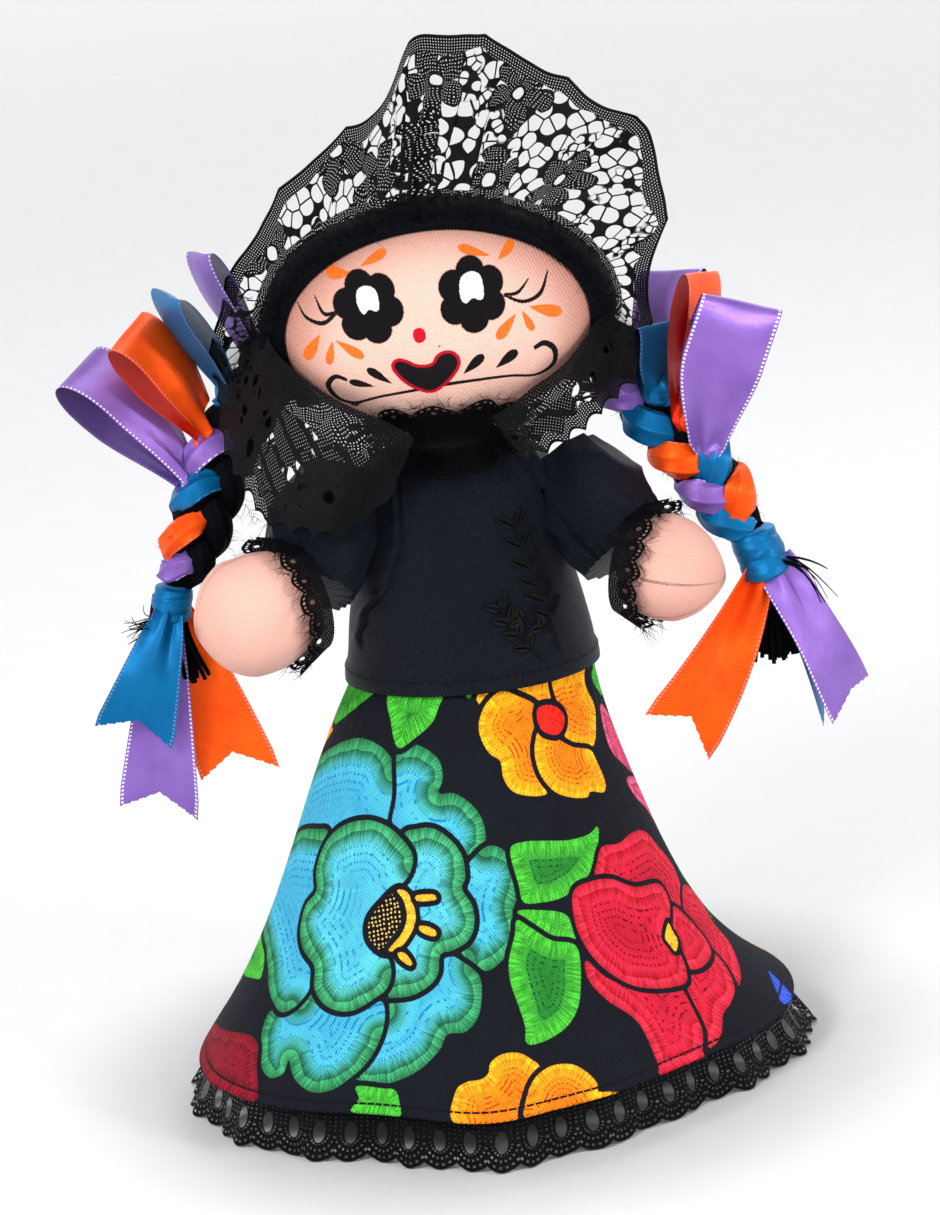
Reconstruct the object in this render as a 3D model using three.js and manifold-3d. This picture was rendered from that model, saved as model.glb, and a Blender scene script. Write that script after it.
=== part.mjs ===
// Day of the dead rag doll: a stuffed cloth doll in a lace mantilla, black blouse and flowered
// skirt, with two yarn plaits tied in satin ribbon. Millimetres, +Z up, the doll faces -Y and its
// left side is +X. The group is shifted at the end, so that its box stands centred on the origin.

import * as THREE from 'three';
import { mergeVertices } from 'three/addons/utils/BufferGeometryUtils.js';
import Module from 'manifold-3d';

const wasm = await Module();
wasm.setup();

// Cloth and clearances
const GAP = 0.35;               // between pieces that touch
const SKIRT_CLOTH = 1.6;        // canvas and its lining
const LACE_THICK = 0.8;
const RIBBON_THICK = 0.5;
const RIBBON_WIDTH = 24;        // one inch satin ribbon

// Skirt and its lace, on the doll's axis
const WAIST_Z = 127;
const WAIST_RADIUS = 36;
const EDGE_Z = 16;              // lower edge of the cloth
const EDGE_RADIUS = 91;
const FOLDS = [                 // angle and half width in degrees from +X, and how far out at the edge
  [-150, 22, 6],
  [-116, 9, -2.5],
  [-93, 10, 5.5],
  [-50, 20, -7],
  [30, 18, -3],
  [75, 14, 2],
  [125, 18, 2],
  [170, 16, -3],
];
const HOLLOW = 7;               // the cloth falls in above the edge on the doll's left
const SAG = 3.5;                // and the bell hangs a little to its right
const LATE_PEAK = 12.2;         // these two bring the curves they multiply to a peak of 1
const EARLY_PEAK = 6.75;

// Head, a squashed stuffed ball, and the hair over it
const HEAD = { x: 2, y: 2, z: 231.5 };
const HEAD_HALF = { x: 48, y: 35, z: 31.5 };
const HAIR_THICK = 5.5;
const HAIRLINE = 110;           // degrees from the back of the head round to the face
const NAPE = 52;                // the same, down to the nape

// Body
const BODY_X = 2.5;
const BODY_SECTIONS = [         // height, half width, half depth
  [WAIST_Z, 38.5, 31],
  [142, 36, 28.5],
  [158, 33, 26.5],
  [174, 31, 25],
  [186, 29.5, 23],
  [192, 25, 18.5],
  [195, 18, 14],
  [199.4, 12, 10],
];

// Each cloth's colour and roughness
const CLOTHS = {
  flesh: [0xf0b9a0, 0.85],
  black: [0x15151a, 0.7],
  lace: [0x0d0d0f, 0.9],
  hair: [0x0a090b, 0.95],
  print: [0x2fa7a0, 0.8],
  purple: [0x9a6bd0, 0.35],
  orange: [0xf26a1b, 0.35],
  blue: [0x0e7fb5, 0.35],
};

const point = (x, y, z) => new THREE.Vector3(x, y, z);
const mix = THREE.MathUtils.lerp;
const radians = THREE.MathUtils.degToRad;

const doll = new THREE.Group();

function add(name, geometry, cloth) {
  const [color, roughness] = CLOTHS[cloth];
  const material = new THREE.MeshStandardMaterial({ color, roughness, metalness: 0 });
  const mesh = new THREE.Mesh(geometry, material);
  mesh.name = name;
  doll.add(mesh);
}

// Solids from points

// Turns the faces over if they point inwards, which the signed volume shows.
function closedGeometry(points, faces) {
  const a = new THREE.Vector3();
  let volume = 0;
  for (const [i, j, k] of faces) {
    volume += a.crossVectors(points[i], points[j]).dot(points[k]);
  }
  const index = faces.flatMap(([i, j, k]) => (volume < 0 ? [i, k, j] : [i, j, k]));
  const geometry = new THREE.BufferGeometry().setFromPoints(points);
  geometry.setIndex(index);
  return mergeVertices(geometry, 1e-3);
}

// A closed solid through rings of equally many points. Its two ends are closed by fans, or the last
// ring is joined to the first.
function loft(rings, joined = false) {
  const count = rings[0].length;
  const points = rings.flat();
  const faces = [];
  const steps = joined ? rings.length : rings.length - 1;
  for (let i = 0; i < steps; i++) {
    for (let j = 0; j < count; j++) {
      const a = i * count + j;
      const b = i * count + ((j + 1) % count);
      const c = ((i + 1) % rings.length) * count + j;
      const d = ((i + 1) % rings.length) * count + ((j + 1) % count);
      faces.push([a, c, b], [b, c, d]);
    }
  }
  if (!joined) {
    const ends = [[0, 1], [rings.length - 1, -1]];
    for (const [ring, turn] of ends) {
      const middle = new THREE.Vector3();
      rings[ring].forEach((p) => middle.addScaledVector(p, 1 / count));
      points.push(middle);
      for (let j = 0; j < count; j++) {
        const a = ring * count + j;
        const b = ring * count + ((j + 1) % count);
        faces.push(turn > 0 ? [a, b, points.length - 1] : [b, a, points.length - 1]);
      }
    }
  }
  return closedGeometry(points, faces);
}

// A sheet of cloth of one thickness, from a grid of points on its middle surface. A sheet that goes
// around has its last column beside its first.
function sheet(rows, thickness, around = false) {
  const m = rows.length;
  const n = rows[0].length;
  const after = (j) => (around ? (j + 1) % n : Math.min(j + 1, n - 1));
  const before = (j) => (around ? (j + n - 1) % n : Math.max(j - 1, 0));
  const points = [];
  for (const side of [thickness / 2, -thickness / 2]) {
    for (let i = 0; i < m; i++) {
      for (let j = 0; j < n; j++) {
        const along = rows[Math.min(i + 1, m - 1)][j].clone().sub(rows[Math.max(i - 1, 0)][j]);
        const across = rows[i][after(j)].clone().sub(rows[i][before(j)]);
        const normal = along.cross(across).normalize();
        points.push(rows[i][j].clone().addScaledVector(normal, side));
      }
    }
  }
  const top = (i, j) => i * n + (j % n);
  const under = (i, j) => m * n + i * n + (j % n);
  const faces = [];
  const columns = around ? n : n - 1;
  for (let i = 0; i < m - 1; i++) {
    for (let j = 0; j < columns; j++) {
      faces.push([top(i, j), top(i + 1, j), top(i, j + 1)]);
      faces.push([top(i, j + 1), top(i + 1, j), top(i + 1, j + 1)]);
      faces.push([under(i, j), under(i, j + 1), under(i + 1, j)]);
      faces.push([under(i, j + 1), under(i + 1, j + 1), under(i + 1, j)]);
    }
  }
  const wall = (a, b, c, d) => faces.push([a, b, c], [c, b, d]);
  for (let j = 0; j < columns; j++) {
    wall(top(0, j), top(0, j + 1), under(0, j), under(0, j + 1));
    wall(top(m - 1, j + 1), top(m - 1, j), under(m - 1, j + 1), under(m - 1, j));
  }
  if (!around) {
    for (let i = 0; i < m - 1; i++) {
      wall(top(i + 1, 0), top(i, 0), under(i + 1, 0), under(i, 0));
      wall(top(i, n - 1), top(i + 1, n - 1), under(i, n - 1), under(i + 1, n - 1));
    }
  }
  return closedGeometry(points, faces);
}

// A range of equal steps from one value to another, both ends included.
function steps(from, to, count) {
  return Array.from({ length: count + 1 }, (_, i) => mix(from, to, i / count));
}

// Booleans

function toManifold(geometry) {
  const bare = geometry.clone();
  bare.deleteAttribute('normal');
  bare.deleteAttribute('uv');
  const merged = mergeVertices(bare, 1e-3);
  const vertProperties = Float32Array.from(merged.getAttribute('position').array);
  const triVerts = Uint32Array.from(merged.index.array);
  return new wasm.Manifold(new wasm.Mesh({ numProp: 3, vertProperties, triVerts }));
}

function fromManifold(solid) {
  const mesh = solid.getMesh();
  const geometry = new THREE.BufferGeometry();
  geometry.setAttribute('position', new THREE.BufferAttribute(mesh.vertProperties, 3));
  geometry.setIndex(new THREE.BufferAttribute(mesh.triVerts, 1));
  return geometry;
}

// The same solid with every point moved out along its normal.
function swollen(geometry, by) {
  const grown = geometry.clone();
  grown.computeVertexNormals();
  const position = grown.getAttribute('position');
  const normal = grown.getAttribute('normal');
  for (let i = 0; i < position.count; i++) {
    position.setXYZ(
      i,
      position.getX(i) + by * normal.getX(i),
      position.getY(i) + by * normal.getY(i),
      position.getZ(i) + by * normal.getZ(i),
    );
  }
  return grown;
}

// Cuts neighbours out of a solid, with a gap to each, and keeps the largest body that is left.
function clearOf(geometry, neighbours, gap = GAP) {
  let solid = toManifold(geometry);
  for (const neighbour of neighbours) {
    solid = solid.subtract(toManifold(swollen(neighbour, gap)));
  }
  const bodies = solid.decompose();
  bodies.sort((a, b) => b.volume() - a.volume());
  return fromManifold(bodies[0]);
}

// Skirt

const apart = (angle, degrees) =>
  THREE.MathUtils.euclideanModulo(angle - radians(degrees) + Math.PI, 2 * Math.PI) - Math.PI;

// How far the cloth stands out from the plain bell, at an angle and a share of the way down.
function fold(angle, down) {
  let out = 0;
  for (const [middle, width, reach] of FOLDS) {
    out += reach * Math.exp(-((apart(angle, middle) / radians(width)) ** 2)) * down ** 2;
  }
  const late = LATE_PEAK * down ** 4 * (1 - down);
  return out - HOLLOW * Math.exp(-(apart(angle, 0) ** 2)) * late;
}

// The bell's radius at a share of the way down, and its middle.
function bellRadius(down) {
  return WAIST_RADIUS + (EDGE_RADIUS - WAIST_RADIUS) * (0.7 * down + 0.3 * down ** 3);
}
function bellX(down) {
  return BODY_X * (1 - down) - SAG * EARLY_PEAK * down * (1 - down) ** 2;
}

const SKIRT_AROUND = 40;
const skirtRows = steps(0, 1, 5).map((down) =>
  steps(0, 2 * Math.PI, SKIRT_AROUND).slice(0, -1).map((angle) => {
    const radius = bellRadius(down) - SKIRT_CLOTH / 2 + fold(angle, down);
    const x = bellX(down) + radius * Math.cos(angle);
    return point(x, radius * Math.sin(angle), mix(WAIST_Z - GAP - SKIRT_CLOTH / 2, EDGE_Z, down));
  }));
add('skirt', sheet(skirtRows, SKIRT_CLOTH, true), 'print');

// The lace is a frill with a flat lower edge, standing out at both sides. Each section goes down its
// outside and up its inside.
const FRILL_TOP = 20.5;
const FRILL = [                 // radius, height
  [EDGE_RADIUS - 6.3, FRILL_TOP],
  [EDGE_RADIUS - 3, 9],
  [EDGE_RADIUS - 0.3, 0],
  [EDGE_RADIUS - 1.7, 0],
  [EDGE_RADIUS - 4.8, 10],
  [EDGE_RADIUS - 7.4, FRILL_TOP],
];
const LACE_AROUND = 57;
const FRILL_WAVES = 19;
const FRILL_DEPTH = 1.4;
const SIDE_FLARE = 7;
const laceRings = steps(0, 2 * Math.PI, LACE_AROUND).slice(0, -1).map((angle) =>
  FRILL.map(([plain, height]) => {
    const loose = 1 - height / FRILL_TOP;
    const frill = FRILL_DEPTH * Math.sin(FRILL_WAVES * angle) + SIDE_FLARE * Math.cos(angle) ** 20;
    const down = Math.min(1, (WAIST_Z - height) / (WAIST_Z - EDGE_Z));
    const radius = plain + fold(angle, down) + frill * loose;
    return point(radius * Math.cos(angle), radius * Math.sin(angle), height);
  }));
add('hem_lace', loft(laceRings, true), 'lace');

// Blouse

const BODY_SIDES = 18;
const blouse = loft(BODY_SECTIONS.map(([z, halfX, halfY]) =>
  steps(0, 2 * Math.PI, BODY_SIDES).slice(0, -1).map((angle) =>
    point(BODY_X + halfX * Math.cos(angle), halfY * Math.sin(angle), z))));
add('blouse', blouse, 'black');

// Head and hair

function headPoint(angle, tilt, lift) {
  const ring = Math.sin(tilt);
  return point(
    HEAD.x + (HEAD_HALF.x + lift) * ring * Math.cos(angle),
    HEAD.y + (HEAD_HALF.y + lift) * Math.cos(tilt),
    HEAD.z + (HEAD_HALF.z + lift) * ring * Math.sin(angle),
  );
}

const HEAD_SIDES = 20;
const headRings = steps(radians(10), radians(170), 8).map((tilt) =>
  steps(0, 2 * Math.PI, HEAD_SIDES).slice(0, -1).map((angle) => headPoint(angle, tilt, 0)));
const head = loft(headRings);
add('head', head, 'flesh');

// The hair is a thick cap from the hairline round the back of the head, cut away at the nape. It
// is combed in locks, which stand out by turns. The head is cut out of it.
const HAIR_SIDES = 20;
const HAIR_LOCKS = 6;
const LOCK_DEPTH = 0.5;
function hairRing(share, lift, locks) {
  return steps(0, 2 * Math.PI, HAIR_SIDES).slice(0, -1).map((angle) => {
    const low = THREE.MathUtils.smoothstep(-Math.sin(angle), 0.5, 0.85);
    const tilt = share * radians(mix(HAIRLINE, NAPE, low));
    const lock = locks * Math.cos(HAIR_LOCKS * angle + 3 * tilt);
    return headPoint(angle, tilt, lift + lock);
  });
}
const hairRings = [
  hairRing(1.03, 0.5 * HAIR_THICK, 0),
  ...[1, 0.8, 0.6, 0.38, 0.14].map((share) => hairRing(share, HAIR_THICK, LOCK_DEPTH)),
];
const hair = clearOf(loft(hairRings), [blouse, head]);
add('hair', hair, 'hair');

// Mantilla

// Over the head the lace is sewn to the hair along a line across its top, at an angle from +X.
const SEAM_Y = 4;
const SEAM_LIFT = HAIR_THICK + 1.2;   // clear of the locks
const SEAM_TILT = Math.acos((SEAM_Y - HEAD.y) / (HEAD_HALF.y + SEAM_LIFT));
const onHair = (degrees) => headPoint(radians(degrees), SEAM_TILT, SEAM_LIFT);

// Stations along the strip of lace, from the doll's right shoulder over the top of the head to its
// left shoulder: the edge sewn to the hair, and the free edge.
const MANTILLA = [
  [point(-12, -33, 196), point(-19, -29, 180)],
  [point(-27, -30, 204), point(-36, -32.5, 177)],
  [point(-42, -21, 213), point(-52, -25, 178)],
  [point(-52, -8, 224), point(-64, -7, 196)],
  [onHair(174), point(-66.5, 8, 232)],
  [onHair(150), point(-54, 11, 257)],
  [onHair(128), point(-36, 12, 279)],
  [onHair(108), point(-9, 14, 296.5)],
  [onHair(94), point(5, 14, 315.5)],
  [onHair(81), point(27, 11, 313)],
  [onHair(67), point(46, 11, 299.5)],
  [onHair(51), point(70, 11, 281)],
  [onHair(30), point(74, 10, 262)],
  [onHair(7), point(67, 7, 232)],
  [point(53, -10, 226), point(62, -5, 212)],
  [point(41, -21, 215), point(47, -18, 200)],
  [point(29, -28, 208), point(36, -26, 196)],
  [point(18, -33, 203), point(24, -32, 191)],
];
const MANTILLA_ALONG = 33;
const MANTILLA_ACROSS = 4;
const PLEATS = 11;
const PLEAT_DEPTH = 2.4;        // over the head, where the lace is gathered
const sewnEdge = new THREE.CatmullRomCurve3(MANTILLA.map(([sewn]) => sewn));
const freeEdge = new THREE.CatmullRomCurve3(MANTILLA.map(([, free]) => free));
const mantillaRows = steps(0, 1, MANTILLA_ALONG).map((along) => {
  const sewn = sewnEdge.getPoint(along);
  const free = freeEdge.getPoint(along);
  const gathered = Math.exp(-(((along - 0.5) / 0.22) ** 2));
  return steps(0, 1, MANTILLA_ACROSS).map((across) => {
    const puff = 4 * across * (1 - across);
    const pleat = (0.6 + PLEAT_DEPTH * gathered * Math.sin(Math.PI * (0.15 + 0.6 * across)))
      * Math.sin(2 * Math.PI * PLEATS * along);
    return sewn.clone().lerp(free, across).add(point(0, pleat + 1.2 * puff * gathered, 0));
  });
});
add('lace_mantilla', sheet(mantillaRows, LACE_THICK), 'lace');

// Neck ruffle, folded at the neck: one half stands up round the chin, the other lies on the chest.
// It dips at the back, and rides up over the shoulders.
const RUFFLE_AROUND = 20;
const RUFFLE_SECTION = [        // half width, half depth, height, front over back, sides over middle
  [28, 28, 203, 4.5, 0],
  [20, 17, 198.5, 0, 0],
  [27, 29, 190.5, 0, 7.5],
];
const ruffleRows = RUFFLE_SECTION.map(([halfX, halfY, z, front, sides], row) =>
  steps(0, 2 * Math.PI, RUFFLE_AROUND).slice(0, -1).map((a, i) => {
    const wave = row === 1 ? 0 : 0.8 * (i % 2 === 0 ? 1 : -1);
    const height = z - front * Math.sin(a) + sides * Math.cos(a) ** 2 + 0.5 * wave;
    return point(HEAD.x + (halfX + wave) * Math.cos(a), (halfY + wave) * Math.sin(a), height);
  }));
add('neck_ruffle', sheet(ruffleRows, LACE_THICK, true), 'lace');

// Arms: a puffed sleeve, a stuffed hand and a frill of lace where they meet

const ARMS = [
  {
    side: 'right',
    sleeve: [point(-31, 2, 187), point(-37, -8, 175), point(-44, -20, 160)],
    sleeveRadii: [13, 16.5, 18, 17.5, 16.5],
    hand: [point(-46, -22.5, 158.5), point(-61, -30, 156), point(-77, -36, 154)],
    handRadii: [14.5, 17, 18.5, 18, 14.5, 8],
  },
  {
    side: 'left',
    sleeve: [point(35, 2, 187), point(43, -6, 174), point(51, -15, 160)],
    sleeveRadii: [13, 16, 17.5, 16.5, 15.5],
    hand: [point(53, -17, 158), point(64, -22, 155.5), point(79, -27, 152)],
    handRadii: [13.5, 15.5, 16.5, 15.5, 12, 6.5],
  },
];

// Rings square to a smooth path, with radii that are spread along it.
function tubeRings(path, radii, sides, count) {
  const curve = new THREE.CatmullRomCurve3(path);
  const frames = curve.computeFrenetFrames(count, false);
  return steps(0, 1, count).map((share, i) => {
    const middle = curve.getPointAt(share);
    const place = share * (radii.length - 1);
    const low = Math.min(Math.floor(place), radii.length - 2);
    const radius = mix(radii[low], radii[low + 1], place - low);
    return steps(0, 2 * Math.PI, sides).slice(0, -1).map((a) =>
      middle.clone()
        .addScaledVector(frames.normals[i], radius * Math.cos(a))
        .addScaledVector(frames.binormals[i], radius * Math.sin(a)));
  });
}

const CUFF_REACH = 7.5;         // how far the lace stands past the sleeve
const CUFF_AROUND = 12;
for (const { side, sleeve, sleeveRadii, hand, handRadii } of ARMS) {
  const handSolid = loft(tubeRings(hand, handRadii, 11, 6));
  const sleeveSolid = clearOf(loft(tubeRings(sleeve, sleeveRadii, 12, 5)), [blouse, handSolid]);
  add(`sleeve_${side}`, sleeveSolid, 'black');
  add(`hand_${side}`, handSolid, 'flesh');
  const outward = hand[1].clone().sub(hand[0]).normalize();
  const cuffPath = [hand[0].clone(), hand[0].clone().addScaledVector(outward, CUFF_REACH)];
  const wristRadius = sleeveRadii.at(-1);
  const cuffRows = tubeRings(cuffPath, [wristRadius + 1.4, wristRadius + 4.2], CUFF_AROUND, 1);
  const cuff = clearOf(sheet(cuffRows, LACE_THICK, true), [handSolid, sleeveSolid, blouse]);
  add(`cuff_lace_${side}`, cuff, 'lace');
}

// Plaits

const STRAND = 5;               // radius of one of a plait's three strands
const SWING = 5.4;              // how far a strand swings out to the side
const DIP = 2.4;                // and to the front and back
const PLAIT_SIDES = 5;
const PLAIT_STEPS = 11;
const STRAND_COLOURS = ['orange', 'blue', 'purple'];

// Each plait's path, how often a strand swings across it (in half turns), where the first strand
// starts in that swing (in half turns), and whether its strands come forward on their way in (1) or
// out (-1). A band is a ribbon's visible stretch: the strand it follows and its share of the way.
const PLAITS = [
  {
    side: 'right',
    path: [point(-47, 18, 221), point(-58, 15, 207), point(-67, 9, 194), point(-71.5, 4, 182),
      point(-77, 3, 170), point(-83, 3, 159)],
    knot: [point(-84.5, 3, 156.5), point(-86.5, 3, 148.5)],
    ends: point(-84.5, 3, 130),
    swings: 4,
    phase: 0.103,
    forward: -1,
    bands: [[2, 0.45], [1, 0.62], [0, 0.79], [2, 0.93]],
  },
  {
    side: 'left',
    path: [point(48, 18, 221), point(56, 13, 208), point(65, 5, 196), point(73, -1, 185.5),
      point(80.5, -5, 173.5), point(88, -8, 161)],
    knot: [point(89.5, -8, 158.5), point(93, -8, 147)],
    ends: point(93.5, -8, 123),
    swings: 3.95,
    phase: 1.301,
    forward: 1,
    bands: [[2, 0.283], [1, 0.451], [0, 0.62], [1, 0.704], [2, 0.789], [0, 0.873], [1, 0.935]],
  },
];

// A strand's middle at a share of the way down, with the directions to the side and to the back.
function strandAt(plait, strand, share) {
  const turn = Math.PI * (plait.swings * share + plait.phase + (strand * 2) / 3);
  const tangent = plait.curve.getTangentAt(share);
  const wide = tangent.clone().cross(point(0, 1, 0)).normalize();
  const deep = wide.clone().cross(tangent).normalize();
  const close = 1 - 0.6 * THREE.MathUtils.smoothstep(share, 0.86, 1);
  const middle = plait.curve.getPointAt(share)
    .addScaledVector(wide, close * SWING * Math.sin(turn))
    .addScaledVector(deep, close * plait.forward * DIP * Math.sin(2 * turn));
  return { middle, wide, deep, turn };
}

// A ribbon lying over the front and the outer side of one strand, along a short stretch of it. It
// narrows to both ends, where the strand dives under its neighbours.
const BAND_REACH = 0.048;
const BAND_ARC = 72;
const BAND_LIFT = 1.1;
function band(plait, [strand, share]) {
  return steps(-1, 1, 3).map((place) => {
    const along = share + BAND_REACH * place;
    const here = strandAt(plait, strand, along);
    const next = strandAt(plait, strand, along + 0.005).middle;
    const tangent = next.sub(here.middle).normalize();
    const facing = here.deep.clone().negate().addScaledVector(here.wide, 0.7 * Math.sin(here.turn));
    facing.addScaledVector(tangent, -facing.dot(tangent)).normalize();
    const aside = tangent.clone().cross(facing);
    const arc = BAND_ARC * (1 - 0.55 * place * place);
    return steps(-arc, arc, 3).map((angle) =>
      here.middle.clone()
        .addScaledVector(facing, (STRAND + BAND_LIFT) * Math.cos(radians(angle)))
        .addScaledVector(aside, (STRAND + BAND_LIFT) * Math.sin(radians(angle))));
  });
}

// The ribbon knotted round the end of a plait, as a ring that swells in the middle.
const TIE_RADIUS = 6.4;
const TIE_THICK = 1.4;
function tie([from, to]) {
  const along = to.clone().sub(from);
  const rows = [0, 0.5, 1].map((share) => {
    const wide = TIE_RADIUS + Math.sin(Math.PI * share);
    const ring = tubeRings([from, to], [wide, wide], 10, 1)[0];
    return ring.map((p) => p.clone().addScaledVector(along, share));
  });
  return sheet(rows, TIE_THICK, true);
}

for (const plait of PLAITS) {
  plait.curve = new THREE.CatmullRomCurve3(plait.path);
  const strands = [0, 1, 2].map((strand) => {
    const middles = steps(0.02, 1, PLAIT_STEPS).map((share) => strandAt(plait, strand, share).middle);
    return toManifold(loft(tubeRings(middles, [STRAND, STRAND, 0.8 * STRAND], PLAIT_SIDES, PLAIT_STEPS)));
  });
  const bundlePath = [plait.path.at(-1), ...plait.knot, plait.ends];
  const bundle = toManifold(loft(tubeRings(bundlePath, [5, 4.6, 4.6, 5.2, 5.8], 7, 4)));
  const whole = clearOf(fromManifold(strands[0].add(strands[1]).add(strands[2]).add(bundle)), [hair]);
  add(`plait_${plait.side}`, whole, 'hair');
  add(`ribbon_knot_${plait.side}`, clearOf(tie(plait.knot), [whole]), 'blue');
  const around = [whole];
  plait.bands.forEach((place, i) => {
    const colour = STRAND_COLOURS[place[0]];
    const solid = clearOf(sheet(band(plait, place), RIBBON_THICK), around);
    add(`ribbon_${colour}_band_${plait.side}_${i + 1}`, solid, colour);
    around.push(solid);
  });
}

// Bow loops and tails

const LOOP_OPEN = 0.04;         // a loop's two ends stay apart by this share of its length

// A loop of ribbon: out from its base to the fold at its tip and back again, round like a drop.
function loop({ base, tip, wide, gap }) {
  const reach = tip.clone().sub(base);
  const across = wide.clone().addScaledVector(reach, -wide.dot(reach) / reach.lengthSq()).normalize();
  const out = reach.clone().cross(across).normalize();
  const rows = steps(LOOP_OPEN, 1 - LOOP_OPEN, 8).map((share) => {
    const turn = 2 * Math.PI * share;
    const apart = Math.sin(turn) * (2 + (gap - 2) * Math.sin(turn / 2));
    const half = (RIBBON_WIDTH / 2) * (1 - 0.45 * Math.abs(2 * share - 1) ** 3);
    const middle = base.clone().addScaledVector(reach, (1 - Math.cos(turn)) / 2).addScaledVector(out, apart);
    return [-half, half].map((side) => middle.clone().addScaledVector(across, side));
  });
  return sheet(rows, RIBBON_THICK);
}

// A tail of ribbon, narrow at the knot, with a notch cut in its end and a soft fold along its middle.
function tail({ from, to, wide, bend, notch, crease }) {
  const path = new THREE.QuadraticBezierCurve3(from, from.clone().lerp(to, 0.5).add(bend), to);
  const across = wide.clone().normalize();
  const out = to.clone().sub(from).cross(across).normalize();
  const rows = steps(0, 1, 5).map((share) => {
    const half = (RIBBON_WIDTH / 2) * mix(0.42, 1, THREE.MathUtils.smoothstep(share, 0, 0.7));
    const middle = path.getPoint(share);
    return [-1, 0, 1].map((side) => {
      const p = middle.clone().addScaledVector(across, side * half);
      if (side === 0) {
        p.addScaledVector(out, crease);
      }
      if (side === 0 && share === 1) {
        p.addScaledVector(path.getTangent(1), -notch);
      }
      return p;
    });
  });
  return sheet(rows, RIBBON_THICK);
}

const LOOPS = {
  right_1: {
    colour: 'purple',
    base: point(-80, 3, 193.5),
    tip: point(-105.5, 9, 225.5),
    wide: point(13, 18, 8),
    gap: 5.5,
  },
  right_2: {
    colour: 'orange',
    base: point(-74, 4, 204.5),
    tip: point(-89, 6, 237),
    wide: point(13, 17.5, 4.4),
    gap: 4.2,
  },
  right_3: {
    colour: 'blue',
    base: point(-69, 6.5, 213.5),
    tip: point(-78, 6, 247.4),
    wide: point(12, 20, 1),
    gap: 3.8,
  },
  right_4: {
    colour: 'purple',
    base: point(-59, 24, 232),
    tip: point(-68.5, 18, 257.5),
    wide: point(4, 22, 3),
    gap: 3,
  },
  left_1: {
    colour: 'purple',
    base: point(84, -16, 191),
    tip: point(93, -15, 231),
    wide: point(24, 2, -9),
    gap: 5,
  },
  left_2: {
    colour: 'orange',
    base: point(79.5, 5, 200),
    tip: point(78, 4, 238),
    wide: point(2, -20, 2),
    gap: 3.5,
  },
  left_3: {
    colour: 'purple',
    base: point(73, 22, 207),
    tip: point(72, 24, 238),
    wide: point(22, -4, 2),
    gap: 3,
  },
  left_4: {
    colour: 'blue',
    base: point(71.5, 5, 204),
    tip: point(68, 5, 225),
    wide: point(3, 18, 1),
    gap: 2,
  },
};
const TAILS = {
  right_1: {
    colour: 'blue',
    from: point(-87, -7.2, 145.5),
    to: point(-101, -7, 115.5),
    wide: point(24, 0, -10.4),
    bend: point(0, -2, 0),
    notch: 6,
    crease: 0.8,
  },
  right_2: {
    colour: 'purple',
    from: point(-88.5, -5, 145),
    to: point(-96.4, -1, 89),
    wide: point(23.3, 0, -7.2),
    bend: point(0, -3, 0),
    notch: 7,
    crease: -0.8,
  },
  right_3: {
    colour: 'orange',
    from: point(-84, 10, 145),
    to: point(-70.8, 4, 97.5),
    wide: point(24.4, 0, 1.7),
    bend: point(0, 3, 0),
    notch: 7,
    crease: 0.8,
  },
  left_1: {
    colour: 'orange',
    from: point(90, -15, 144),
    to: point(61.4, -13, 100.6),
    wide: point(19.4, 0, -17.4),
    bend: point(0, -2, 0),
    notch: 8,
    crease: -0.8,
  },
  left_2: {
    colour: 'purple',
    from: point(100.5, -11, 146),
    to: point(114.5, -12, 107),
    wide: point(11, 12, 9),
    bend: point(0, -2, 2),
    notch: 3,
    crease: 3,
  },
  left_3: {
    colour: 'blue',
    from: point(99, -1, 145),
    to: point(108.4, -1, 101),
    wide: point(6, 20, 3),
    bend: point(0, 0, 0),
    notch: 5,
    crease: 0.8,
  },
};
for (const [name, shape] of Object.entries(LOOPS)) {
  add(`ribbon_${shape.colour}_loop_${name}`, loop(shape), shape.colour);
}
for (const [name, shape] of Object.entries(TAILS)) {
  add(`ribbon_${shape.colour}_tail_${name}`, tail(shape), shape.colour);
}

// The doll stands centred on the origin.
const box = new THREE.Box3().setFromObject(doll);
const centre = box.getCenter(new THREE.Vector3());
doll.position.set(-centre.x, -centre.y, -box.min.z);

export default doll;
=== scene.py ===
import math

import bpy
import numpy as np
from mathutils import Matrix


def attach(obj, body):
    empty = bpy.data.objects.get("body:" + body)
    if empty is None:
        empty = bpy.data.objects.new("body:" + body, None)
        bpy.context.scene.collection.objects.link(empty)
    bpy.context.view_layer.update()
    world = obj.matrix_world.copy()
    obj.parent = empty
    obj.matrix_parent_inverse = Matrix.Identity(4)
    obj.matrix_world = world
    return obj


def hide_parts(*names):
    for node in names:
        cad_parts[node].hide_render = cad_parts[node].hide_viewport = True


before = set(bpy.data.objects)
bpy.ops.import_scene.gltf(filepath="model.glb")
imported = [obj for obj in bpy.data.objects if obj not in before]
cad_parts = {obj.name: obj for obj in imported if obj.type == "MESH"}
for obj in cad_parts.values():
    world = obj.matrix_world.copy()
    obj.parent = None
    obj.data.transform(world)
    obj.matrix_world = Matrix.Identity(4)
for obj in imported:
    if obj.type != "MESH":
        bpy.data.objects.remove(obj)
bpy.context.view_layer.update()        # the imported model: its bodies, nodes and record

# %% [markdown]
# # A day of the dead rag doll
# The doll is a stuffed cloth souvenir: a jersey head and hands, a cotton blouse, a skirt of printed
# canvas edged with lace, a lace mantilla, and two yarn plaits tied with satin ribbon. It is sewn by
# hand, so the lesson makes each piece of cloth as a sheet or a stuffed form, and its print, weave
# and stitches as a material. Every measure is in millimetres in the doll's own frame: it faces -Y,
# and its left side is +X.

SHIFT = np.array([-4.642, 1.792, 0.0])      # from the doll's own axis to the middle of its box


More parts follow.
